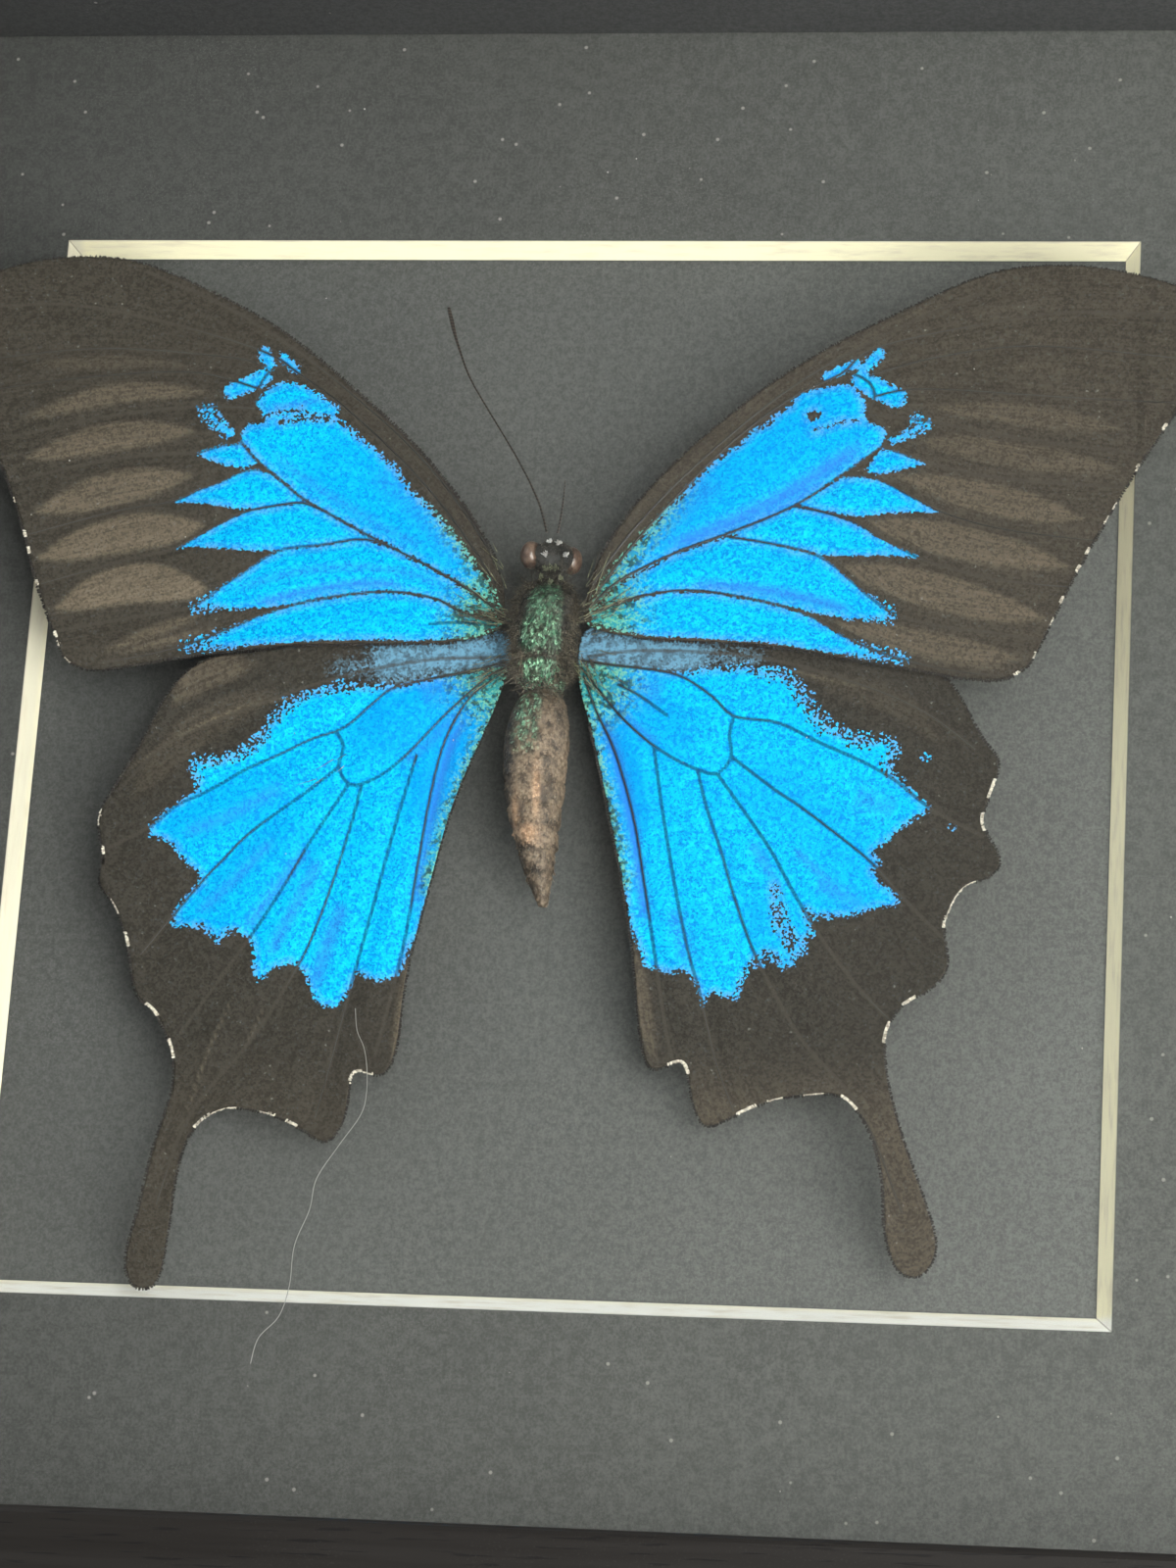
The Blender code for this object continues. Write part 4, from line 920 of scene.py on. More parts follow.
def wingOutline(wing):
    # the front sheet of the CAD wing as one face with its corners eased, and its edge in order
    piece = copyOfNode(wing["node"], wing["node"] + "_scaled")
    piece.data.polygons.foreach_set("select", [face.normal.y > -0.5 for face in piece.data.polygons])
    bpy.ops.object.mode_set(mode="EDIT")
    bpy.ops.mesh.delete(type="FACE")
    bpy.ops.mesh.select_all(action="SELECT")
    bpy.ops.mesh.dissolve_faces()
    bpy.ops.mesh.subdivide(number_cuts=5)
    endEdit()
    points = pointsOf(piece)
    points[:, 1] = 0
    movePoints(piece, points)
    startEdit()
    bpy.ops.mesh.vertices_smooth(factor=0.5, repeat=12)
    endEdit()
    if "hind" in wing["node"]:
        # its front edge runs up under the forewing beside the body
        points = pointsOf(piece)
        flat = flatOf(points)
        away = np.linalg.norm(flat - wing["root"], axis=1)
        points[:, 2] += 2.0 * mm * eased(flat[:, 1], 7.0, 8.2) * (1 - eased(away, 12, 26))
        movePoints(piece, points)
    rim = flatOf(pointsOf(piece)[list(piece.data.polygons[0].vertices)])
    turning = rim[:, 0] * np.roll(rim[:, 1], -1) - np.roll(rim[:, 0], -1) * rim[:, 1]
    return piece, rim if turning.sum() > 0 else rim[::-1]


def cutFine(piece, spacing):
    # straight cuts both ways, until the sheet is a grid fine enough to hold the markings
    points = pointsOf(piece)
    bpy.ops.object.mode_set(mode="EDIT")
    for axis, direction in ((0, (1, 0, 0)), (2, (0, 0, 1))):
        for place in np.arange(points[:, axis].min() + spacing / 2, points[:, axis].max(), spacing):
            bpy.ops.mesh.select_all(action="SELECT")
            bpy.ops.mesh.bisect(plane_co=[place * unit for unit in direction], plane_no=direction, threshold=1e-7)
    bpy.ops.mesh.select_all(action="SELECT")
    bpy.ops.mesh.remove_doubles(threshold=0.04 * mm)
    endEdit()


def sideOf(places, line):
    # which side of its nearest piece of the line each place is on
    middles = (line[1:] + line[:-1]) / 2
    side = np.ones(len(places))
    best = np.full(len(places), 1e6)
    for start, end, middle in zip(line, line[1:], middles):
        gap = ((places - middle) ** 2).sum(axis=1)
        closer = gap < best
        best[closer] = gap[closer]
        turn = (end[0] - start[0]) * (places[:, 1] - start[1]) - (end[1] - start[1]) * (places[:, 0] - start[0])
        side[closer] = np.sign(turn)[closer]
    return side


def nearestVein(flat, wing):
    # how far the nearest vein is; the scales stand in rows, so their fibres run along it
    veinGap = np.full(len(flat), 1e6)
    grain = np.zeros((len(flat), 3))
    for index, (_, _, line) in enumerate(wing["veins"]):
        curve = throughPoints(line, 0.8)
        gap, run = distanceTo(flat, curve)
        near = gap < veinGap
        veinGap[near] = gap[near]
        length = np.linalg.norm(np.diff(curve, axis=0), axis=1).sum()
        rows = np.column_stack((run * length, gap * sideOf(flat, curve), np.full(len(flat), index * 7.0)))
        grain[near] = rows[near]
    return veinGap, grain


def blueness(flat, wing):
    # how far inside the blue each place is, with spots added and rubbed patches taken off
    blue = np.full(len(flat), -1e6)
    for patch in wing["blue"]:
        blue = np.maximum(blue, depthIn(flat, patch))
    for reach, line in wing["spots"]:
        blue = np.maximum(blue, reach - distanceTo(flat, line)[0])
    for reach, line in wing["rubs"]:
        blue = np.minimum(blue, distanceTo(flat, line)[0] - reach)
    return blue


def strongest(flat, lines, profile, step=None):
    # the most that any of the lines adds at each place; the profile says how it falls off beside a line
    most = np.zeros(len(flat))
    for reach, strength, line in lines:
        gap, share = distanceTo(flat, throughPoints(line, step) if step else line)
        most = np.maximum(most, strength * profile(gap, share, reach))
    return most


def foldProfile(gap, share, reach):
    return eased(share, 0, 0.15) * eased(1 - share, 0, 0.15) * np.exp(-(gap / reach) ** 2)


def streakProfile(gap, share, reach):
    spindle = np.sin(np.pi * np.clip(share, 0.02, 0.98)) ** 0.55
    soft = min(0.5, reach)
    return eased(reach * spindle - gap, -0.6 * soft, 1.1 * soft)


def dustProfile(gap, share, reach):
    return np.exp(-(gap / reach) ** 2)


def coolProfile(gap, share, reach):
    return 1 - eased(gap / reach, 0.3, 1.0)


def greenness(flat, wing, away):
    # green near the root, along the forewing's front edge and beside the body
    green = 1 - eased(away, 2.5, 10.5)
    if "fore" in wing["node"]:
        costa = distanceTo(flat, wing["veins"][1][2][:4])[0]
        green = np.maximum(green, 0.75 * (1 - eased(costa, 0.4, 3.2)) * (1 - eased(away, 8, 22)))
    inner = wing["blue"][0][-4:] if "hind" in wing["node"] else wing["blue"][0][:2]
    return np.maximum(green, 0.80 * np.exp(-(distanceTo(flat, inner)[0] / 1.3) ** 2))


def paintWing(piece, wing):
    # works out, for every point of the sheet, what the scales there look like
    points = pointsOf(piece)
    flat = flatOf(points)
    away = np.linalg.norm(flat - wing["root"], axis=1)
    veinGap, grain = nearestVein(flat, wing)
    fray = np.full(len(flat), wing["fray"])
    for x, z, reach, amount in wing["soft"]:
        fray += amount * np.exp(-((flat - (x, z)) ** 2).sum(axis=1) / reach**2)
    fold = strongest(flat, wing["folds"], foldProfile, 0.8)
    streak = strongest(flat, wing["streaks"], streakProfile, 0.8)
    streak *= eased(veinGap, 0.15, 0.75) if "fore" in wing["node"] else 1
    streak = np.maximum(streak, wing["wash"] + wing["tailWash"] * eased(-flat[:, 1], 27, 36))
    values = {
        "blueDepth": np.clip(blueness(flat, wing), -4, 4), "fray": fray, "fold": fold, "streak": streak,
        "dusty": strongest(flat, wing["dusts"], dustProfile), "green": greenness(flat, wing, away),
        "cool": strongest(flat, wing["cool"], coolProfile), "veinGap": np.clip(veinGap, 0, 4), "rows": grain,
    }
    for name, numbers in values.items():
        setValues(piece, name, numbers)
    # the membrane arches between its veins and waves a little towards the edge
    angle = np.arctan2(flat[:, 1] - wing["root"][1], np.abs(flat[:, 0] - wing["root"][0]))
    arch = wingLooks["arch"] * (1 - np.exp(-(veinGap / 1.3) ** 2)) * eased(away, 2, 12)
    wave = 0.10 * eased(away, 15, 45) * np.sin(angle * 14 + away * 0.21)
    lift = wingLift(wing, flat[:, 0], flat[:, 1]) + arch + wave - 0.10 - 0.12 * fold
    points[:, 1] = matFace - lift * mm
    movePoints(piece, points)


def buildWing(wing, finish, underside):
    piece, rim = wingOutline(wing)
    cutFine(piece, wingLooks["spacing"] * mm)
    paintWing(piece, wing)
    for material in (finish, underside, finish):
        piece.data.materials.append(material)
    shell = piece.modifiers.new("Membrane", "SOLIDIFY")
    shell.thickness = wingLooks["thickness"] * mm
    shell.offset = 0
    shell.material_offset = 1
    shell.material_offset_rim = 2
    applyAll(piece)
    piece.data.shade_smooth()
    hand(piece, "wing", wing["node"])
    return rim


def tubes(name, radius, resolution, paths, material):
    # one piece of round tubes, each along rows of x, z, lift and thickness
    deselectAll()
    bpy.ops.curve.primitive_bezier_curve_add()
    piece = newest(name)
    piece.data.dimensions = "3D"
    piece.data.splines.clear()
    piece.data.bevel_depth = radius * mm
    piece.data.bevel_resolution = resolution
    piece.data.use_fill_caps = True
    for path in paths:
        spline = piece.data.splines.new("POLY")
        spline.points.add(len(path) - 1)
        for knot, (x, z, lift, thickness) in zip(spline.points, path):
            knot.co = (*onMat(x, z, lift), 1)
            knot.radius = thickness
    workOn(piece)
    bpy.ops.object.convert(target="MESH")
    piece.data.materials.append(material)
    piece.data.shade_smooth()
    return piece


def wingVeins(wing, material):
    # horny tubes half sunk in the membrane, thinning from the root outwards
    paths = []
    for first, last, line in wing["veins"]:
        path = throughPoints(line, 0.7)
        along = np.linspace(0, 1, len(path))
        thick = (last + (first - last) * (1 - along) ** 1.2) * wingLooks["veinShare"]
        lifts = wingLift(wing, path[:, 0], path[:, 1]) - 0.10
        paths.append(np.column_stack((path, lifts, thick)))
    hand(tubes(wing["node"] + "_veins", 1, 1, paths, material), "wing")


def wingGrain(tree, place):
    # the scales, and the rows that they stand in along the veins
    scales = useGroup(tree, scaleGrain, Vector=place, Density=wingLooks["scaleDensity"])
    along = stretched(tree, painted(tree, "rows", "Vector"), wingLooks["grainStretch"])
    return scales, noise(tree, along, 1.0, 3, 0.6)


def wingScales():
    material, tree, shader, place = startMaterial("wing_scales", 0.55, Specular_IOR_Level=0.05)
    scales, rows = wingGrain(tree, place)
    cell, patch = scales["Cell"], scales["Patch"]
    # blue ground: each scale its own brightness, painted deeper violet along the folds as painted shade, green
    # towards the body
    tone = sums(tree, "MULTIPLY_ADD", cell, 0.45, times(tree, patch, 0.55))
    blue = blend(tree, ease(tree, tone, 0.28, 0.62), wingLooks["blueDeep"], wingLooks["blueBright"])
    # the crinkled relief is painted into the colour too: dark blue lines as painted shade, bright cyan spots as
    # painted highlights
    hide = noise(tree, place, 1900, 2, 0.75)
    paintedCrinkleShade = ease(tree, sums(tree, "ABSOLUTE", sums(tree, "SUBTRACT", hide, 0.5)), 0.0, 0.035, 0.42, 0)
    blue = blend(tree, paintedCrinkleShade, blue, wingLooks["paintedCrinkleShade"])
    blue = blend(tree, ease(tree, hide, 0.54, 0.66, 0, 0.55), blue, wingLooks["paintedGleam"])
    blue = blend(tree, ease(tree, rows, 0.50, 0.72, 0, 0.35), blue, wingLooks["blueDeep"])
    blue = blend(tree, times(tree, painted(tree, "cool"), 0.7), blue, wingLooks["blueDeep"])
    blue = blend(tree, times(tree, painted(tree, "fold"), 0.80), blue, wingLooks["paintedFoldViolet"])
    nearEdge = ease(tree, painted(tree, "blueDepth"), 0.9, 0.05, 0, 0.9)
    border = blend(tree, ease(tree, cell, 0.42, 0.60), wingLooks["edge"], wingLooks["lace"])
    blue = blend(tree, times(tree, nearEdge, ease(tree, patch, 0.36, 0.60, 0.15, 0.85)), blue, border)
    gold = blend(tree, ease(tree, cell, 0.45, 0.8), wingLooks["green"], wingLooks["greenPale"])
    greened = ease(tree, sums(tree, "MULTIPLY_ADD", cell, 0.45, painted(tree, "green")), 0.45, 1.25, 0, 0.85)
    blue = blend(tree, greened, blue, gold)
    # painted shade: near-black gaps between the crinkled green scales by the root
    gaps = times(tree, ease(tree, patch, 0.50, 0.40), ease(tree, painted(tree, "green"), 0.12, 0.7))
    blue = blend(tree, times(tree, gaps, 0.8), blue, wingLooks["paintedGreenGapShade"])
    # brown ground: rows of scales, tan where they lie thin between the veins
    ground = blend(tree, ease(tree, rows, 0.30, 0.72, 0, 0.38), wingLooks["brown"], wingLooks["brownPale"])
    ground = blend(tree, ease(tree, patch, 0.40, 0.62, 0, 0.45), ground, wingLooks["brownPale"])
    ground = blend(tree, ease(tree, tone, 0.34, 0.56, 0.45, 0), ground, wingLooks["brownDeep"])
    thin = times(tree, painted(tree, "streak"), ease(tree, rows, 0.32, 0.64, 0.58, 1.0))
    thin = times(tree, thin, ease(tree, tone, 0.30, 0.58, 0.55, 1.0))
    ground = blend(tree, thin, ground, wingLooks["tan"])
    powder = ease(tree, sums(tree, "MULTIPLY_ADD", cell, 0.5, painted(tree, "dusty")), 0.42, 1.10)
    powder = times(tree, powder, ease(tree, patch, 0.38, 0.56, 0.50, 1.0))
    ground = blend(tree, powder, ground, wingLooks["dusty"])
    stray = times(tree, ease(tree, cell, 0.975, 0.99), ease(tree, patch, 0.58, 0.68, 0, 0.5))
    ground = blend(tree, stray, ground, wingLooks["stray"])
    # the edge of the blue breaks up scale by scale
    broken = times(tree, sums(tree, "SUBTRACT", cell, 0.5), times(tree, painted(tree, "fray"), 2.0))
    edge = sums(tree, "ADD", painted(tree, "blueDepth"), broken)
    edge = sums(tree, "MULTIPLY_ADD", sums(tree, "SUBTRACT", patch, 0.5), painted(tree, "fray"), edge)
    isBlue = ease(tree, edge, -0.03, 0.05)
    colour = blend(tree, isBlue, ground, blue)
    veinShade = blend(tree, isBlue, wingLooks["veinOnBrown"], wingLooks["veinOnBlue"])
    colour = blend(tree, ease(tree, painted(tree, "veinGap"), 0.08, 0.26, 0.70, 0), colour, veinShade)
    feed(tree, shader.inputs["Base Color"], colour)
    feed(tree, shader.inputs["Roughness"], ease(tree, isBlue, 0, 1, 0.74, 0.50))
    bumped(tree, shader, sums(tree, "MULTIPLY_ADD", hide, 2.0, scales["Height"]), 0.45, 0.00006)
    return material


def wingUnderside():
    material, tree, shader, place = startMaterial("wing_underside", 0.75)
    scales, rows = wingGrain(tree, place)
    colour = blend(tree, ease(tree, rows, 0.3, 0.7), wingLooks["underDark"], wingLooks["underPale"])
    colour = blend(tree, times(tree, painted(tree, "streak"), 0.8), colour, wingLooks["underStreak"])
    powder = times(tree, ease(tree, scales["Cell"], 0.80, 0.92), ease(tree, scales["Patch"], 0.45, 0.6))
    feed(tree, shader.inputs["Base Color"], blend(tree, powder, colour, wingLooks["underPowder"]))
    bumped(tree, shader, scales["Height"], 0.3, 0.00005)
    return material


def veinHorn():
    material, tree, shader, place = startMaterial("wing_vein_horn", 0.5)
    scales = useGroup(tree, scaleGrain, Vector=place, Density=5000)
    colour = blend(tree, scales["Patch"], wingLooks["hornDark"], wingLooks["hornPale"])
    feed(tree, shader.inputs["Base Color"], colour)
    bumped(tree, shader, scales["Height"], 0.3, 0.00005)
    return material


# scales and hairs: one of each is modelled, then planted many times into one mesh

def modelBlade():
    # a flat scale, 1 long and 1 wide, narrow at its foot and notched to a blunt tip
    deselectAll()
    bpy.ops.mesh.primitive_cube_add(size=1, location=(0, 0, 0.5))
    blade = settle(newest("blade_pattern"))
    cutAcross((0.3, 0.72))
    points = pointsOf(blade)
    widths = np.interp(points[:, 2], (0, 0.3, 0.72, 1), (0.30, 0.85, 1.0, 0.45))
    points[:, 0] *= widths
    points[:, 1] = points[:, 1] * 0.10 * (1 - 0.5 * points[:, 2]) - 0.16 * points[:, 2] ** 2
    return takePattern(blade, points)


def modelHair():
    # a tapering hair, 1 long, that bends away from its root
    deselectAll()
    bpy.ops.mesh.primitive_cone_add(vertices=4, radius1=0.5, radius2=0.08, depth=1, location=(0, 0, 0.5))
    hair = settle(newest("hair_pattern"))
    cutAcross((0.35, 0.7))
    points = pointsOf(hair)
    points[:, 1] -= 1.6 * points[:, 2] ** 2
    return takePattern(hair, points)


def takePattern(pattern, points):
    faces = [tuple(face.vertices) for face in pattern.data.polygons]
    bpy.data.objects.remove(pattern)
    return points, faces


def plant(name, pattern, feet, aims, ups, lengths, widths, tints, material, slot):
    # the pattern's Z runs along aim and its Y towards up; aims, ups and widths are one for all or one for each
    points, faces = pattern
    aims, ups = (np.broadcast_to(np.asarray(way, float), feet.shape) for way in (aims, ups))
    widths = np.full(len(feet), widths)
    aims = aims / np.linalg.norm(aims, axis=1, keepdims=True)
    sides = np.cross(aims, ups)
    sides /= np.linalg.norm(sides, axis=1, keepdims=True)
    lifts = np.cross(sides, aims)
    spread = (points[None, :, 0, None] * sides[:, None] * widths[:, None, None]
              - points[None, :, 1, None] * lifts[:, None] * widths[:, None, None]
              + points[None, :, 2, None] * aims[:, None] * lengths[:, None, None])
    placed = (feet[:, None] + spread).reshape(-1, 3)
    count, size = len(feet), len(points)
    whole = [tuple(index + k * size for index in face) for k in range(count) for face in faces]
    piece = bpy.data.objects.new(name, bpy.data.meshes.new(name))
    bpy.context.scene.collection.objects.link(piece)
    piece.data.from_pydata(placed.tolist(), [], whole)
    giveTints(piece, np.repeat(tints, size, axis=0))
    workOn(piece)
    startEdit()
    bpy.ops.mesh.normals_make_consistent(inside=False)
    endEdit()
    piece.data.materials.append(material)
    hand(piece, slot)


# painted highlights: the pale gleam on some planted scales
plantedLooks = {"shade": (0.45, 0.42, 0.40), "paintedGleam": (0.55, 0.52, 0.40), "density": 9000}


def tintedScales(name, roughness, paintedGleam):
    # planted scales and hairs carry their own tint; the grain breaks it up and adds a painted highlight on some
    # scales
    material, tree, shader, place = startMaterial(name, roughness)
    scales = useGroup(tree, scaleGrain, Vector=place, Density=plantedLooks["density"])
    tint = painted(tree, "tint", "Color")
    dark = blend(tree, 1.0, tint, plantedLooks["shade"], "MULTIPLY")
    colour = blend(tree, ease(tree, scales["Patch"], 0.35, 0.62), dark, tint)
    colour = blend(tree, ease(tree, scales["Cell"], 0.7, 1.0, 0, paintedGleam), colour, plantedLooks["paintedGleam"])
    feed(tree, shader.inputs["Base Color"], colour)
    bumped(tree, shader, scales["Height"], 0.2, 0.00003)
    return material


fringeLooks = {
    "every": 0.085, "length": 0.34, "width": 0.15, "kept": 0.72,
    "whiteLength": 0.30, "whiteReach": 0.36, "joinReach": 0.30, "joinUpTo": 1.5,
    "bareRoot": 6, "sink": 0.10, "whiteSink": 0.16, "whiteRise": 0.12,
    "dark": (0.022, 0.017, 0.013), "white": (0.86, 0.80, 0.66),
}


def wingFringe(wing, rim, blade, material):
    # a close row of scales round the free edge, cream where the edge is marked
    loop = np.vstack((rim, rim[:1]))
    steps = np.linalg.norm(np.diff(loop, axis=0), axis=1)
    run = np.concatenate(([0], np.cumsum(steps)))
    at = np.arange(0, run[-1], fringeLooks["every"])
    foot = np.column_stack([np.interp(at, run, loop[:, k]) for k in (0, 1)])
    ahead = np.roll(foot, -3, axis=0) - np.roll(foot, 3, axis=0)
    out = np.column_stack((ahead[:, 1], -ahead[:, 0])) / np.linalg.norm(ahead, axis=1)[:, None]
    marks = np.array(wing["whites"], float)
    nearest = np.linalg.norm(foot[:, None] - marks[None], axis=2).min(axis=1)
    cream = nearest < fringeLooks["whiteReach"]
    if "hind" in wing["node"]:
        for a, b in zip(marks, marks[1:]):
            if np.linalg.norm(b - a) < fringeLooks["joinUpTo"]:
                cream |= distanceTo(foot, [a, b])[0] < fringeLooks["joinReach"]
    free = np.linalg.norm(foot - wing["root"], axis=1) > fringeLooks["bareRoot"]
    keep = cream | (free & (dice.random(len(foot)) < fringeLooks["kept"]))
    foot, out, cream = foot[keep], out[keep], cream[keep]
    foot = foot - out * np.where(cream, fringeLooks["whiteSink"], fringeLooks["sink"])[:, None]
    turn = dice.normal(0, 0.22, len(foot))
    aim = np.column_stack((out[:, 0] * np.cos(turn) - out[:, 1] * np.sin(turn), np.zeros(len(foot)),
                           out[:, 0] * np.sin(turn) + out[:, 1] * np.cos(turn)))
    lift = wingLift(wing, foot[:, 0], foot[:, 1]) + np.where(cream, fringeLooks["whiteRise"], 0.0)
    lift = lift + dice.uniform(-0.04, 0.08, len(foot))
    aim[:, 1] = dice.uniform(-0.12, 0.10, len(foot))
    feet = manyOnMat(foot[:, 0], foot[:, 1], lift)
    length = np.where(cream, fringeLooks["whiteLength"], fringeLooks["length"])
    length = length * dice.uniform(0.75, 1.15, len(foot))
    shade = dice.uniform(0.7, 1.1, (len(foot), 1))
    tints = np.where(cream[:, None], fringeLooks["white"], fringeLooks["dark"]) * shade
    plant(wing["node"] + "_fringe", blade, feet, aim, toFront, length * mm, fringeLooks["width"] * mm,
          tints, material, "wing")


finish, underside, horn = wingScales(), wingUnderside(), veinHorn()
fringeScales = tintedScales("fringe_scales", 0.7, 0.1)
blade, hair = modelBlade(), modelHair()
rims = {}
for wing in (hindwingLeft, hindwingRight, forewingLeft, forewingRight):
    rims[wing["node"]] = buildWing(wing, finish, underside)
    wingVeins(wing, horn)
    wingFringe(wing, rims[wing["node"]], blade, fringeScales)
    print(wing["node"], "laid with scales, veins and fringe")


# the body, which lies along the window's upright middle line

bodyLooks = {
    "greenDark": (0.060, 0.175, 0.100), "green": (0.155, 0.410, 0.230), "greenPale": (0.420, 0.780, 0.500),
    "hairDark": (0.032, 0.026, 0.019), "hair": (0.092, 0.076, 0.055), "hairPale": (0.240, 0.205, 0.140),
    "tan": (0.315, 0.235, 0.158), "tanDark": (0.100, 0.076, 0.054),
    # painted highlights: the orange laid on the abdomen
    "paintedOrangeHighlight": (0.820, 0.510, 0.300), "black": (0.036, 0.035, 0.031), "waistGlow": 0.45,
    "segments": (-1.8, -3.9, -6.1, -8.2, -10.3, -12.2),
    "thoraxScales": 3600, "abdomenScales": 4300, "headHairs": 1500, "sideHairs": 1500, "rootStrands": 300,
    "sideHairWidth": 0.075, "rootWidth": 0.085, "rootGold": (0.26, 0.27, 0.15), "rootBrown": (0.085, 0.068, 0.050),
}


def scattered(piece, count):
    # places spread evenly over the surface, with the way it faces there
    mesh = piece.data
    mesh.calc_loop_triangles()
    corners = np.zeros(len(mesh.loop_triangles) * 3, np.int32)
    mesh.loop_triangles.foreach_get("vertices", corners)
    a, b, c = (pointsOf(piece)[corners.reshape(-1, 3)[:, k]] for k in range(3))
    facing = np.cross(b - a, c - a)
    area = np.linalg.norm(facing, axis=1)
    picked = dice.choice(len(area), count, p=area / area.sum())
    u, v = dice.random((2, count, 1))
    flip = u + v > 1
    u, v = np.where(flip, 1 - u, u), np.where(flip, 1 - v, v)
    places = a[picked] + u * (b[picked] - a[picked]) + v * (c[picked] - a[picked])
    return places, facing[picked] / area[picked][:, None]


def mixTints(first, second, share):
    return np.array(first) * (1 - share[:, None]) + np.array(second) * share[:, None]


def clumps(flat, size, seed):
    # soft lumpy noise over the sheet, from 0 to 1
    turn = np.random.default_rng(seed).uniform(0, 6.28, (6, 2))
    value = sum(np.sin(flat[:, 0] * np.cos(t) * k / size + flat[:, 1] * np.sin(t) * k / size + s)
                for (t, s), k in zip(turn, (3.1, 4.3, 5.2, 6.6, 7.7, 9.1)))
    return np.clip(0.5 + value / 5, 0, 1)


def thoraxTint(flat):
    x, z = flat[:, 0], flat[:, 1]
    chance = dice.random(len(flat))
    lump = clumps(flat, 1.1, 3)
    half = np.interp(z, (7.5, 10, 13, 15), (1.75, 1.7, 1.25, 0.9))
    middle = np.interp(z, (4.6, 8, 12, 15), (-1.6, -1.5, -1.25, -1.1))
    inBand = eased(half - np.abs(x - middle), -0.35, 0.35) * eased(z, 7.1, 8.0) * eased(14.6 - z, 0, 1.4)
    lower = eased(2.1 - np.abs(x + 1.6), -0.3, 0.3) * eased(z, 4.2, 4.9) * eased(7.0 - z, 0, 0.5)
    greenness = np.maximum(inBand, lower) * (0.35 + 0.65 * eased(lump + 0.5 * chance, 0.45, 0.85))
    # the crinkled green scales are painted: darker in the gaps as painted shade, pale green on their tops as
    # painted highlights
    paintedCrinkleShade = 0.22 + 0.78 * eased(clumps(flat, 0.40, 12) + 0.2 * chance, 0.42, 0.66)
    green = mixTints(bodyLooks["greenDark"], bodyLooks["green"], chance)
    pale = eased(clumps(flat, 0.6, 9) + 0.3 * chance, 0.62, 0.95) * eased(13.8 - z, 0, 2.5)
    green = mixTints(green, bodyLooks["greenPale"], pale)
    green *= (1 + bodyLooks["waistGlow"] * eased(7.2 - z, 0, 0.6))[:, None]
    brown = mixTints(bodyLooks["hairDark"], bodyLooks["hair"], chance)
    return green * (greenness * paintedCrinkleShade)[:, None] + brown * (1 - greenness)[:, None]


def abdomenTint(flat):
    x, z = flat[:, 0], flat[:, 1]
    chance = dice.random(len(flat))
    side = x - np.interp(z, (-14.8, -8.4, 0.6, 4.3), (-0.3, -1.25, -1.65, -1.4))
    green = eased(0.55 - side, -0.2, 0.7) * eased(side, -2.3, -1.6) * eased(z, -2.6, 0.6) * eased(4.2 - z, 0, 0.4)
    green *= 0.10 + 0.90 * eased(clumps(flat, 0.9, 5) + 0.5 * chance, 0.55, 0.95)
    tan = mixTints(bodyLooks["tanDark"], bodyLooks["tan"], eased(clumps(flat, 1.6, 6) + 0.5 * chance, 0.2, 0.9))
    upper = eased(z, -2.0, 3.5)
    tan = tan * (1 - 0.35 * upper)[:, None]
    # painted highlights: orange spots where the abdomen catches the light
    glow = 0.95 * np.exp(-(((side + 0.5) / 0.9) ** 2 + ((z + 9.0) / 0.75) ** 2))
    glow = np.maximum(glow, 0.75 * np.exp(-(((side - 0.35) / 0.32) ** 2 + ((z + 5.2) / 2.2) ** 2)))
    glow = np.maximum(glow, 0.7 * np.exp(-(((side + 1.65) / 0.4) ** 2 + ((z + 7.2) / 1.8) ** 2)))
    tan = mixTints(tan, bodyLooks["paintedOrangeHighlight"], glow)
    crease = np.min([np.abs(z - line - 0.12 * side**2) for line in bodyLooks["segments"]], axis=0)
    tan *= (1 - 0.5 * (1 - eased(crease, 0.02, 0.26)) * eased(-z, 2.5, 6.5))[:, None]
    tan *= (1 - 0.30 * eased(-z, 9.8, 11.5))[:, None]
    # painted shade down the abdomen's left side
    left = eased(-side, 1.2, 2.3) * eased(z, -6.5, -2)
    tan *= (1 - 0.5 * left)[:, None]
    leaf = mixTints(bodyLooks["greenDark"], bodyLooks["greenPale"], chance)
    leaf *= (0.18 + 0.82 * eased(clumps(flat, 0.45, 14) + 0.2 * chance, 0.46, 0.72))[:, None]
    return mixTints(tan, leaf, green)


def noLean(flat):
    return np.zeros(len(flat))


def abdomenLean(flat):
    # the abdomen dried a little to the left, fuller at the waist and pinched at the tip
    x, z = flat[:, 0], flat[:, 1]
    middle = np.interp(z, (-14.8, -8.4, 0.6, 4.3), (0.25, -0.75, -1.5, -1.4))
    fuller = np.interp(z, (-14.8, -10, -6, 0, 3, 4.3), (0.80, 0.86, 0.95, 1.10, 1.08, 1.0))
    return (x - middle) * (fuller - 1) + np.interp(z, (-14.8, -8, -2, 4.3), (-0.55, -0.5, -0.25, 0))


def smoothShell(node, name, material, relief, lean=noLean):
    # the CAD solid rounded off, then pressed in where its plates meet
    piece = copyOfNode(node, name)
    rounded = piece.modifiers.new("Rounded", "SUBSURF")
    rounded.levels = rounded.render_levels = 3
    applyAll(piece)
    points = pointsOf(piece)
    flat = flatOf(points)
    normals = np.zeros(len(points) * 3)
    piece.data.vertices.foreach_get("normal", normals)
    points = points + normals.reshape(-1, 3) * relief(flat)[:, None] * mm
    points[:, 0] += lean(flat) * mm
    movePoints(piece, points)
    piece.data.materials.append(material)
    piece.data.shade_smooth()
    return piece


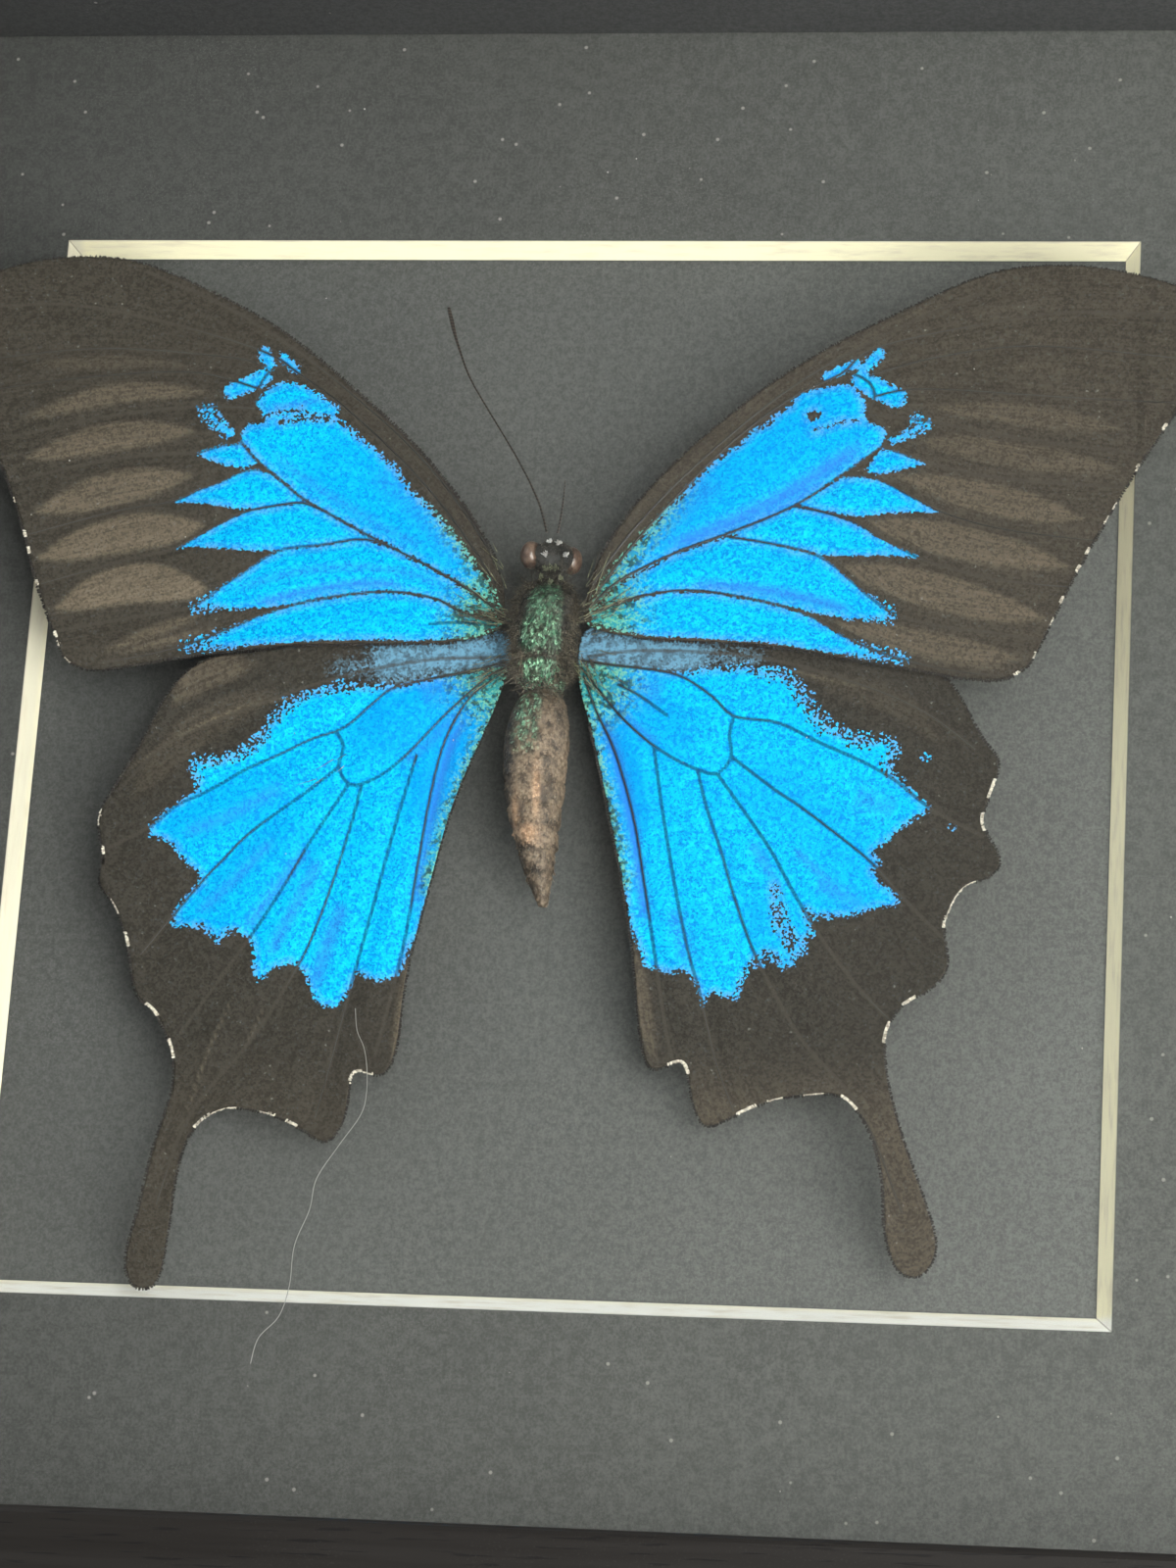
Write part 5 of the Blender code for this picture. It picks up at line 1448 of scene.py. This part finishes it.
def thoraxRelief(flat):
    x, z = flat[:, 0], flat[:, 1]
    seams = sum(np.exp(-((z - line) / 0.28) ** 2) for line in (7.1, 13.9))
    return 0.22 * clumps(flat, 1.6, 2) - 0.30 * seams - 0.10 * np.exp(-((x + 1.4) / 0.25) ** 2)


def abdomenRelief(flat):
    z = flat[:, 1]
    crease = np.min([np.abs(z - line) for line in bodyLooks["segments"]], axis=0)
    return 0.20 + 0.12 * clumps(flat, 2.0, 4) - 0.20 * np.exp(-(crease / 0.22) ** 2) * eased(-z, 0, 5)


def clothe(name, piece, tint, count, length, width, lean, material, slot):
    # scales that overlap tailwards, each with the colour of the place it grows from
    places, facing = scattered(piece, count)
    back = np.tile((0.0, 0.0, -1.0), (count, 1)) + dice.normal(0, 0.30, (count, 3))
    back -= (back * facing).sum(axis=1, keepdims=True) * facing
    aims = back / np.linalg.norm(back, axis=1, keepdims=True) + facing * dice.uniform(*lean, (count, 1))
    sizes = dice.uniform(0.7, 1.2, count)
    plant(name, blade, places - facing * 0.03 * mm, aims, facing, sizes * length * mm, sizes * width * mm,
          tint(flatOf(places)), material, slot)


def buildTrunk(skin, scales):
    thorax = smoothShell("thorax", "thorax_shell", skin, thoraxRelief)
    giveTints(thorax, thoraxTint(flatOf(pointsOf(thorax))) * 0.6)
    hand(thorax, "body", "thorax")
    clothe("thorax_scales", thorax, thoraxTint, bodyLooks["thoraxScales"], 0.42, 0.17, (0.10, 0.45), scales, "body")
    abdomen = smoothShell("abdomen", "abdomen_shell", skin, abdomenRelief, abdomenLean)
    giveTints(abdomen, abdomenTint(flatOf(pointsOf(abdomen))) * 0.8)
    hand(abdomen, "abdomen", "abdomen")
    clothe("abdomen_scales", abdomen, abdomenTint, bodyLooks["abdomenScales"], 0.38, 0.19, (0.02, 0.16), scales,
           "abdomen")
    sideHairs(scales)


def sideHairs(scales):
    # long hairs along both flanks of the thorax and over the waist
    count = bodyLooks["sideHairs"]
    side = dice.choice((-1, 1), count)
    waist = dice.random(count) < 0.16
    z = np.where(waist, dice.normal(4.6, 0.5, count), dice.uniform(5.2, 14.6, count))
    z = np.where(waist & (dice.random(count) < 0.45), dice.normal(7.3, 0.3, count), z)
    reach = np.where(waist, dice.uniform(-2.1, 2.1, count),
                     side * dice.uniform(1.5, 3.0, count) * np.interp(z, (4, 6, 13, 15), (0.7, 0.95, 0.95, 0.5)))
    x = -1.4 + reach
    hump = np.sqrt(np.clip(1 - (reach / 3.1) ** 2, 0, 1))
    rise = 5.2 + 2.6 * hump * np.interp(z, (4, 5.5, 10, 15), (0.55, 0.8, 1, 0.4))
    feet = manyOnMat(x, z, rise)
    outwards = np.where(waist, dice.choice((-1, 1), count) * 0.9, side * 0.8)
    aims = np.column_stack((outwards + dice.normal(0, 0.35, count), dice.uniform(-0.35, 0.25, count),
                            dice.normal(-0.55, 0.55, count)))
    # some of them lie in bright lines along the flanks
    lines = ~waist & (dice.random(count) < 0.16)
    aims[lines] = np.column_stack((dice.normal(0, 0.16, lines.sum()), np.full(lines.sum(), -0.12),
                                   np.full(lines.sum(), -1.0)))
    chance = np.maximum(dice.random(count), 0.85 * lines)
    tints = mixTints(bodyLooks["hairDark"], bodyLooks["hairPale"], chance**2)
    tints *= np.interp(z, (11, 14), (1, 0.75))[:, None]
    plant("thorax_hairs", hair, feet, aims, toFront, dice.uniform(0.7, 1.4, count) * mm,
          bodyLooks["sideHairWidth"] * mm, tints, scales, "body")
    print("thorax and abdomen covered")


headLooks = {
    "centre": (-1.2, 17.0, 5.6), "size": (2.15, 1.65, 1.65), "eyeSide": 1.75, "eyeSize": (0.98, 1.28, 1.25),
    "eyeLift": {"left": 0.30, "right": -1.05},
    "dots": ((-1.56, 16.75, 7.15), (0.30, 16.75, 7.1), (-1.34, 18.15, 6.5), (-0.5, 18.0, 6.7)),
    "bars": ((-1.55, 15.45, 6.8), (-1.1, 15.55, 6.85), (-0.65, 15.5, 6.8), (-1.9, 14.7, 6.7), (-0.1, 14.6, 6.7),
             (-1.0, 14.2, 6.9)),
    "dotTint": (0.90, 0.90, 0.86), "barTint": (0.34, 0.38, 0.24), "furWidth": 0.055, "tuftWidth": 0.10,
    "eyeDark": (0.074, 0.046, 0.034), "eyePale": (0.196, 0.132, 0.094), "eyeGap": (0.06, 0.035, 0.028),
}


def eyeLens():
    material, tree, shader, place = startMaterial("compound_eye", 0.32, Coat_Weight=0.25)
    lenses = cellsIn(tree, place, 11000)
    cloud = noise(tree, place, 1500, 3, 0.6)
    colour = blend(tree, ease(tree, cloud, 0.35, 0.68), headLooks["eyeDark"], headLooks["eyePale"])
    colour = blend(tree, ease(tree, lenses.outputs["Distance"], 0.4, 0.8, 0, 0.5), colour, headLooks["eyeGap"])
    feed(tree, shader.inputs["Base Color"], colour)
    bumped(tree, shader, sums(tree, "SUBTRACT", 1.0, lenses.outputs["Distance"]), 0.25, 0.00004)
    return material


def buildHead(skin, scales):
    x, z, rise = headLooks["centre"]
    wide, tall, deep = headLooks["size"]
    deselectAll()
    bpy.ops.mesh.primitive_uv_sphere_add(segments=24, ring_count=16, radius=mm, location=onMat(x, z, rise),
                                         scale=(wide, deep, tall))
    head = settle(newest("head_shell"))
    sortFaces(head)
    # a short snout between the palps, drawn out of the front
    bpy.ops.object.mode_set(mode="EDIT")
    bpy.ops.mesh.select_mode(type="FACE")
    endEdit()
    for face in head.data.polygons:
        face.select = face.normal.z > 0.86
    bpy.ops.object.mode_set(mode="EDIT")
    bpy.ops.mesh.extrude_region_move(TRANSFORM_OT_translate={"value": (0, 0.15 * mm, 0.35 * mm)})
    bpy.ops.transform.resize(value=(0.7, 0.8, 0.6))
    endEdit()
    sortFaces(head)
    startEdit()
    bpy.ops.mesh.vertices_smooth(factor=0.5, repeat=2)
    endEdit()
    giveTints(head, np.tile(bodyLooks["black"], (len(head.data.vertices), 1)))
    head.data.materials.append(skin)
    head.data.shade_smooth()
    hand(head, "head", "head")
    setEyes()
    headFur(head, scales)


def setEyes():
    # each eye is an egg, cut flat where it sits against the head
    x, z, rise = headLooks["centre"]
    lens = eyeLens()
    for name, side in (("left", -1), ("right", 1)):
        across, along, out = headLooks["eyeSize"]
        middle = onMat(x + side * headLooks["eyeSide"] - 0.12, z + 0.15, rise + headLooks["eyeLift"][name])
        deselectAll()
        bpy.ops.mesh.primitive_uv_sphere_add(segments=28, ring_count=18, radius=mm, location=middle,
                                             scale=(across, out, along))
        eye = settle(newest("eye_" + name))
        sortFaces(eye)
        startEdit()
        bpy.ops.mesh.bisect(plane_co=middle - Vector((side * 0.45 * mm, 0, 0)), plane_no=(side, 0, 0),
                            use_fill=True, clear_inner=True)
        bpy.ops.mesh.bevel(offset=0.08 * mm, segments=2)
        endEdit()
        eye.data.materials.append(lens)
        bpy.ops.object.shade_smooth_by_angle(angle=math.radians(50))
        hand(eye, "head")


def headFur(head, scales):
    # short black fur, then the pale tufts
    count = bodyLooks["headHairs"]
    places, facing = scattered(head, count)
    ruff = dice.random(count) < 0.35
    places[ruff] = [onMat(dice.normal(-1.2, 1.0), dice.uniform(13.9, 15.8), dice.uniform(6.3, 7.1))
                    for _ in range(ruff.sum())]
    facing[ruff] = (0, -0.8, 0.6)
    aims = facing + dice.normal(0, 0.35, (count, 3)) + np.array((0, 0, -0.25))
    tints = mixTints(bodyLooks["black"], bodyLooks["hair"], dice.random(count) ** 2)
    plant("head_fur", hair, places, aims, np.roll(facing, 1, axis=1) + 0.01, dice.uniform(0.28, 0.6, count) * mm,
          headLooks["furWidth"] * mm, tints, scales, "head")
    feet, tints = [], []
    for kind, hairs, spread in (("dot", 60, 0.09), ("bar", 34, 0.11)):
        tint = headLooks[kind + "Tint"]
        for spot in headLooks[kind + "s"]:
            for _ in range(hairs):
                sway = dice.normal(0, spread, 3)
                feet.append(onMat(spot[0] + sway[0], spot[1] + sway[1], spot[2] + 0.3 * sway[2]))
                tints.append(np.array(tint) * dice.uniform(0.75, 1.1))
    feet, tints = np.array(feet), np.array(tints)
    count = len(feet)
    aims = np.array((0, -1, 0.1)) + dice.normal(0, 0.35, (count, 3))
    plant("head_tufts", blade, feet, aims, np.array(toTop) + 0.01, dice.uniform(0.2, 0.34, count) * mm,
          headLooks["tuftWidth"] * mm, tints, scales, "head")
    print("head, eyes and fur placed")


antennaLooks = {
    "radius": 0.105, "rings": 1000, "ringDark": (0.010, 0.008, 0.007), "ringPale": (0.060, 0.046, 0.034),
    "antenna_left": [(-1.7, 19.2, 6.4, 1.2), (-2.6, 22.0, 6.8, 1.0), (-4.6, 25.8, 7.1, 0.9),
        (-7.4, 30.2, 7.3, 0.85), (-9.6, 33.8, 7.4, 0.9), (-11.0, 37.2, 7.4, 1.3), (-11.7, 39.4, 7.3, 2.0),
        (-12.1, 40.8, 7.2, 1.5)],
    "antenna_right": [(-0.7, 19.1, 6.4, 1.2), (-0.45, 20.6, 6.7, 1.0), (-0.3, 22.4, 6.9, 0.8),
        (-0.25, 24.0, 7.0, 0.4)],
}


def drawnTube(name, knots, radius, material, slot, *nodes):
    hand(tubes(name, radius, 2, [throughPoints(knots, 0.4)], material), slot, *nodes)


def antennaHorn():
    material, tree, shader, place = startMaterial("antenna_horn", 0.42)
    rings = tree.nodes.new("ShaderNodeTexWave")
    rings.bands_direction = "Z"
    rings.inputs["Scale"].default_value = antennaLooks["rings"]
    rings.inputs["Distortion"].default_value = 0.6
    tree.links.new(place, rings.inputs["Vector"])
    colour = blend(tree, rings.outputs["Fac"], antennaLooks["ringDark"], antennaLooks["ringPale"])
    feed(tree, shader.inputs["Base Color"], colour)
    bumped(tree, shader, rings.outputs["Fac"], 0.35, 0.00004)
    return material


def rootTufts(scales):
    # gold and brown strands that fan from the body over each wing's root
    feet, aims, tints, lengths = [], [], [], []
    for wing, share in ((forewingLeft, 0.3), (forewingRight, 0.3), (hindwingLeft, 0.2), (hindwingRight, 0.2)):
        for _ in range(int(bodyLooks["rootStrands"] * share)):
            main = 7 if "fore" in wing["node"] else 1
            vein = wing["veins"][dice.integers(0, 3) if dice.random() < 0.35 else main][2]
            start, end = np.array(vein[0]), np.array(vein[1])
            ahead = (end - start) / np.linalg.norm(end - start)
            along = dice.uniform(-1.6, 2.2)
            foot = start + ahead * along + dice.normal(0, 0.55, 2)
            aside = abs(foot[0] + 1.4)
            lift = wing["lift"] + 0.03 * aside + dice.uniform(0.0, 0.5) + max(0, 1.2 - aside * 0.25)
            feet.append(onMat(*foot, lift))
            sway = dice.normal(0, 0.22)
            aims.append((ahead[0] - sway * ahead[1], dice.uniform(-0.22, 0.12), ahead[1] + sway * ahead[0]))
            gold = dice.random() < 0.42
            tints.append(np.array(bodyLooks["rootGold" if gold else "rootBrown"]) * dice.uniform(0.6, 1.25))
            lengths.append(dice.uniform(0.8, 2.2))
    plant("wing_root_tufts", hair, np.array(feet), aims, toFront, np.array(lengths) * mm,
          bodyLooks["rootWidth"] * mm, tints, scales, "body")
    print("wing roots tufted")


bodySkin = tintedScales("body_skin", 0.7, 0.05)
bodyScales = tintedScales("body_scales", 0.6, 0.22)
buildTrunk(bodySkin, bodyScales)
buildHead(bodySkin, bodyScales)
rootTufts(bodyScales)
antennaFinish = antennaHorn()
for name in ("antenna_left", "antenna_right"):
    drawnTube(name + "_stalk", antennaLooks[name], antennaLooks["radius"], antennaFinish, "antenna", name)
print("antennae drawn")


# one pale fibre clinging to the outside of the glass, and specks of dust

looseLooks = {
    "fibre": [(-14.3, -27.6), (-14.0, -29.55), (-13.3, -31.0), (-12.9, -32.75), (-12.75, -34.95), (-13.1, -36.95),
              (-14.8, -39.7), (-16.5, -42.65), (-16.9, -45.35), (-17.95, -48.5), (-18.1, -51.9), (-18.8, -54.6),
              (-20.4, -56.5), (-20.9, -58.7)],
    "fibreRadius": 0.030, "fibreDark": (0.28, 0.28, 0.26), "fibrePale": (0.48, 0.47, 0.44),
    "specks": 90, "speckSize": (0.05, 0.16), "speckTint": (0.55, 0.54, 0.50),
}


def fibreFinish():
    material, tree, shader, place = startMaterial("loose_fibre", 0.7)
    shade = noise(tree, place, 2500, 3, 0.6)
    feed(tree, shader.inputs["Base Color"], blend(tree, shade, looseLooks["fibreDark"], looseLooks["fibrePale"]))
    feed(tree, shader.inputs["Roughness"], ease(tree, shade, 0.3, 0.7, 0.55, 0.85))
    return material


def dropDust(material):
    # small squashed grains lying on the mat, the sheet behind and the wings
    deselectAll()
    bpy.ops.mesh.primitive_ico_sphere_add(subdivisions=1, radius=0.5, location=(0, 0, 0.35))
    grain = settle(newest("grain_pattern"))
    startEdit()
    bpy.ops.transform.vertex_random(offset=0.12, seed=3)
    endEdit()
    pattern = takePattern(grain, pointsOf(grain))
    spots = dice.uniform(-66, 66, (looseLooks["specks"], 2))
    lift = np.where(np.abs(spots).max(axis=1) > 51.6, 0.0, -1.75)
    keep = np.abs(np.abs(spots).max(axis=1) - 51.2) > 0.7  # none on the window's bevel
    for wing in (hindwingLeft, hindwingRight, forewingLeft, forewingRight):
        on = insideOf(spots, rims[wing["node"]])
        lift = np.where(on, wingLift(wing, spots[:, 0], spots[:, 1]) + 0.1, lift)
    spots, lift = spots[keep], lift[keep]
    count = len(spots)
    feet = manyOnMat(spots[:, 0], spots[:, 1], lift)
    sizes = dice.uniform(*looseLooks["speckSize"], count) * mm
    tints = np.tile(looseLooks["speckTint"], (count, 1)) * dice.uniform(0.6, 1.2, (count, 1))
    plant("dust_specks", pattern, feet, toFront, toTop, sizes * 0.6, sizes * dice.uniform(0.7, 1.6, count),
          tints, material, "mat")


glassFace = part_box("glazing")[0].y
fibreLift = (matFace - glassFace) / mm + looseLooks["fibreRadius"]
fibreKnots = [(x, z, fibreLift, 1) for x, z in looseLooks["fibre"]]
drawnTube("loose_fibre", fibreKnots, looseLooks["fibreRadius"], fibreFinish(), "glass")
dropDust(tintedScales("dust_grains", 0.85, 0.1))
print("fibre and dust laid")


# stage, lamps and camera

stageLooks = {
    "plinth": (0.36, 0.22, 0.9), "plinthFront": -0.034, "bevel": 0.004,
    "floorSize": 8.0, "floorDrop": -0.9,
    "pale": (0.70, 0.69, 0.67), "paleShade": (0.62, 0.61, 0.59),
}


def paleStage(name, colour):
    material, tree, shader, place = startMaterial(name, 0.8)
    cloud = noise(tree, place, 9, 4, 0.6)
    dappled = blend(tree, ease(tree, cloud, 0.3, 0.7, 0, 0.25), colour, stageLooks["paleShade"])
    feed(tree, shader.inputs["Base Color"], dappled)
    bumped(tree, shader, noise(tree, place, 900, 3, 0.6), 0.15, 0.0002)
    return material


def buildStage():
    width, depth, height = stageLooks["plinth"]
    deselectAll()
    bpy.ops.mesh.primitive_cube_add(size=1, scale=(width, depth, height),
                                    location=(0, stageLooks["plinthFront"] + depth / 2, -height / 2))
    plinth = settle(newest("plinth"))
    edge = plinth.modifiers.new("Edge", "BEVEL")
    edge.width = stageLooks["bevel"]
    edge.segments = 3
    applyAll(plinth)
    bpy.ops.object.shade_smooth_by_angle(angle=math.radians(40))
    deselectAll()
    bpy.ops.mesh.primitive_plane_add(size=stageLooks["floorSize"], location=(0, 0, stageLooks["floorDrop"]))
    floor = settle(newest("floor"))
    for piece in (plinth, floor):
        piece.data.materials.append(paleStage(piece.name + "_pale", stageLooks["pale"]))


lampLooks = {
    # name: (place, aimed at, size, watts, colour, whether the rails shade it)
    "key": ((0.62, -0.55, -0.38), (0, 0, 0.09), (0.24, 0.24), 3.1, (1.0, 0.98, 0.95), False),
    "front": ((0.50, -1.25, -0.12), (0, 0, 0.09), (0.6, 0.6), 6.6, (1.0, 0.99, 0.97), False),
    "fill": ((-1.0, -0.9, 0.6), (0, 0, 0.09), (0.9, 0.9), 3.6, (0.92, 0.96, 1.0), True),
    "top": ((0.0, 0.5, 1.3), (0, 0, 0.09), (1.2, 1.2), 7.0, (1.0, 0.99, 0.97), True),
}


def hangLamps():
    shades = bpy.data.collections.new("inside_the_frame")
    outside = ("frame_", "spacer_", "plinth", "floor", "mat_board")
    for piece in bpy.context.scene.objects:
        if piece.type == "MESH" and not piece.name.startswith(outside):
            shades.objects.link(piece)
    for name, (place, aim, size, watts, colour, railsShade) in lampLooks.items():
        light = bpy.data.lights.new(name + "_lamp", "AREA")
        light.shape = "RECTANGLE"
        light.size, light.size_y = size
        light.energy = watts
        light.color = colour
        lamp = bpy.data.objects.new(name + "_lamp", light)
        lamp.location = place
        lamp.rotation_euler = (Vector(aim) - Vector(place)).to_track_quat("-Z", "Y").to_euler()
        bpy.context.scene.collection.objects.link(lamp)
        if not railsShade:
            lamp.light_linking.blocker_collection = shades


roomLooks = {"around": 0.30, "front": 0.02, "glow": 0.16, "colour": (0.93, 0.95, 0.96)}


def lightRoom():
    # a soft room, dimmer in front, where the glass would mirror it
    world = bpy.data.worlds.new("soft_room")
    bpy.context.scene.world = world
    world.use_nodes = True
    tree = world.node_tree
    across, back, up = partsOf(tree, tree.nodes.new("ShaderNodeTexCoord").outputs["Generated"])[:3]
    ahead = times(tree, ease(tree, back, -0.30, -0.75), ease(tree, up, 0.62, 0.40))
    glow = times(tree, ease(tree, across, -0.26, 0.02), ease(tree, up, 0.46, 0.12, 0.25, 1.0))
    front = sums(tree, "MULTIPLY_ADD", glow, roomLooks["glow"], roomLooks["front"])
    sky = tree.nodes["Background"]
    feed(tree, sky.inputs["Color"], roomLooks["colour"])
    feed(tree, sky.inputs["Strength"], ease(tree, ahead, 0, 1, roomLooks["around"], front, "LINEAR"))


viewLooks = {
    "lens": 103.708, "sensor": 36,
    "place": (0.06128367, -0.38302172, -0.03458951), "turn": (1.86984548, -0.060903, 0.13264736),
}


def placeCamera():
    lens = bpy.data.cameras.new("view_camera")
    lens.lens = viewLooks["lens"]
    lens.sensor_width = viewLooks["sensor"]
    lens.clip_start = 0.02
    camera = bpy.data.objects.new("view_camera", lens)
    camera.location = viewLooks["place"]
    camera.rotation_euler = viewLooks["turn"]
    bpy.context.scene.collection.objects.link(camera)
    bpy.context.scene.camera = camera
    bpy.context.scene.view_settings.view_transform = "Standard"


buildStage()
hangLamps()
lightRoom()
placeCamera()
print("stage, lamps and camera placed")
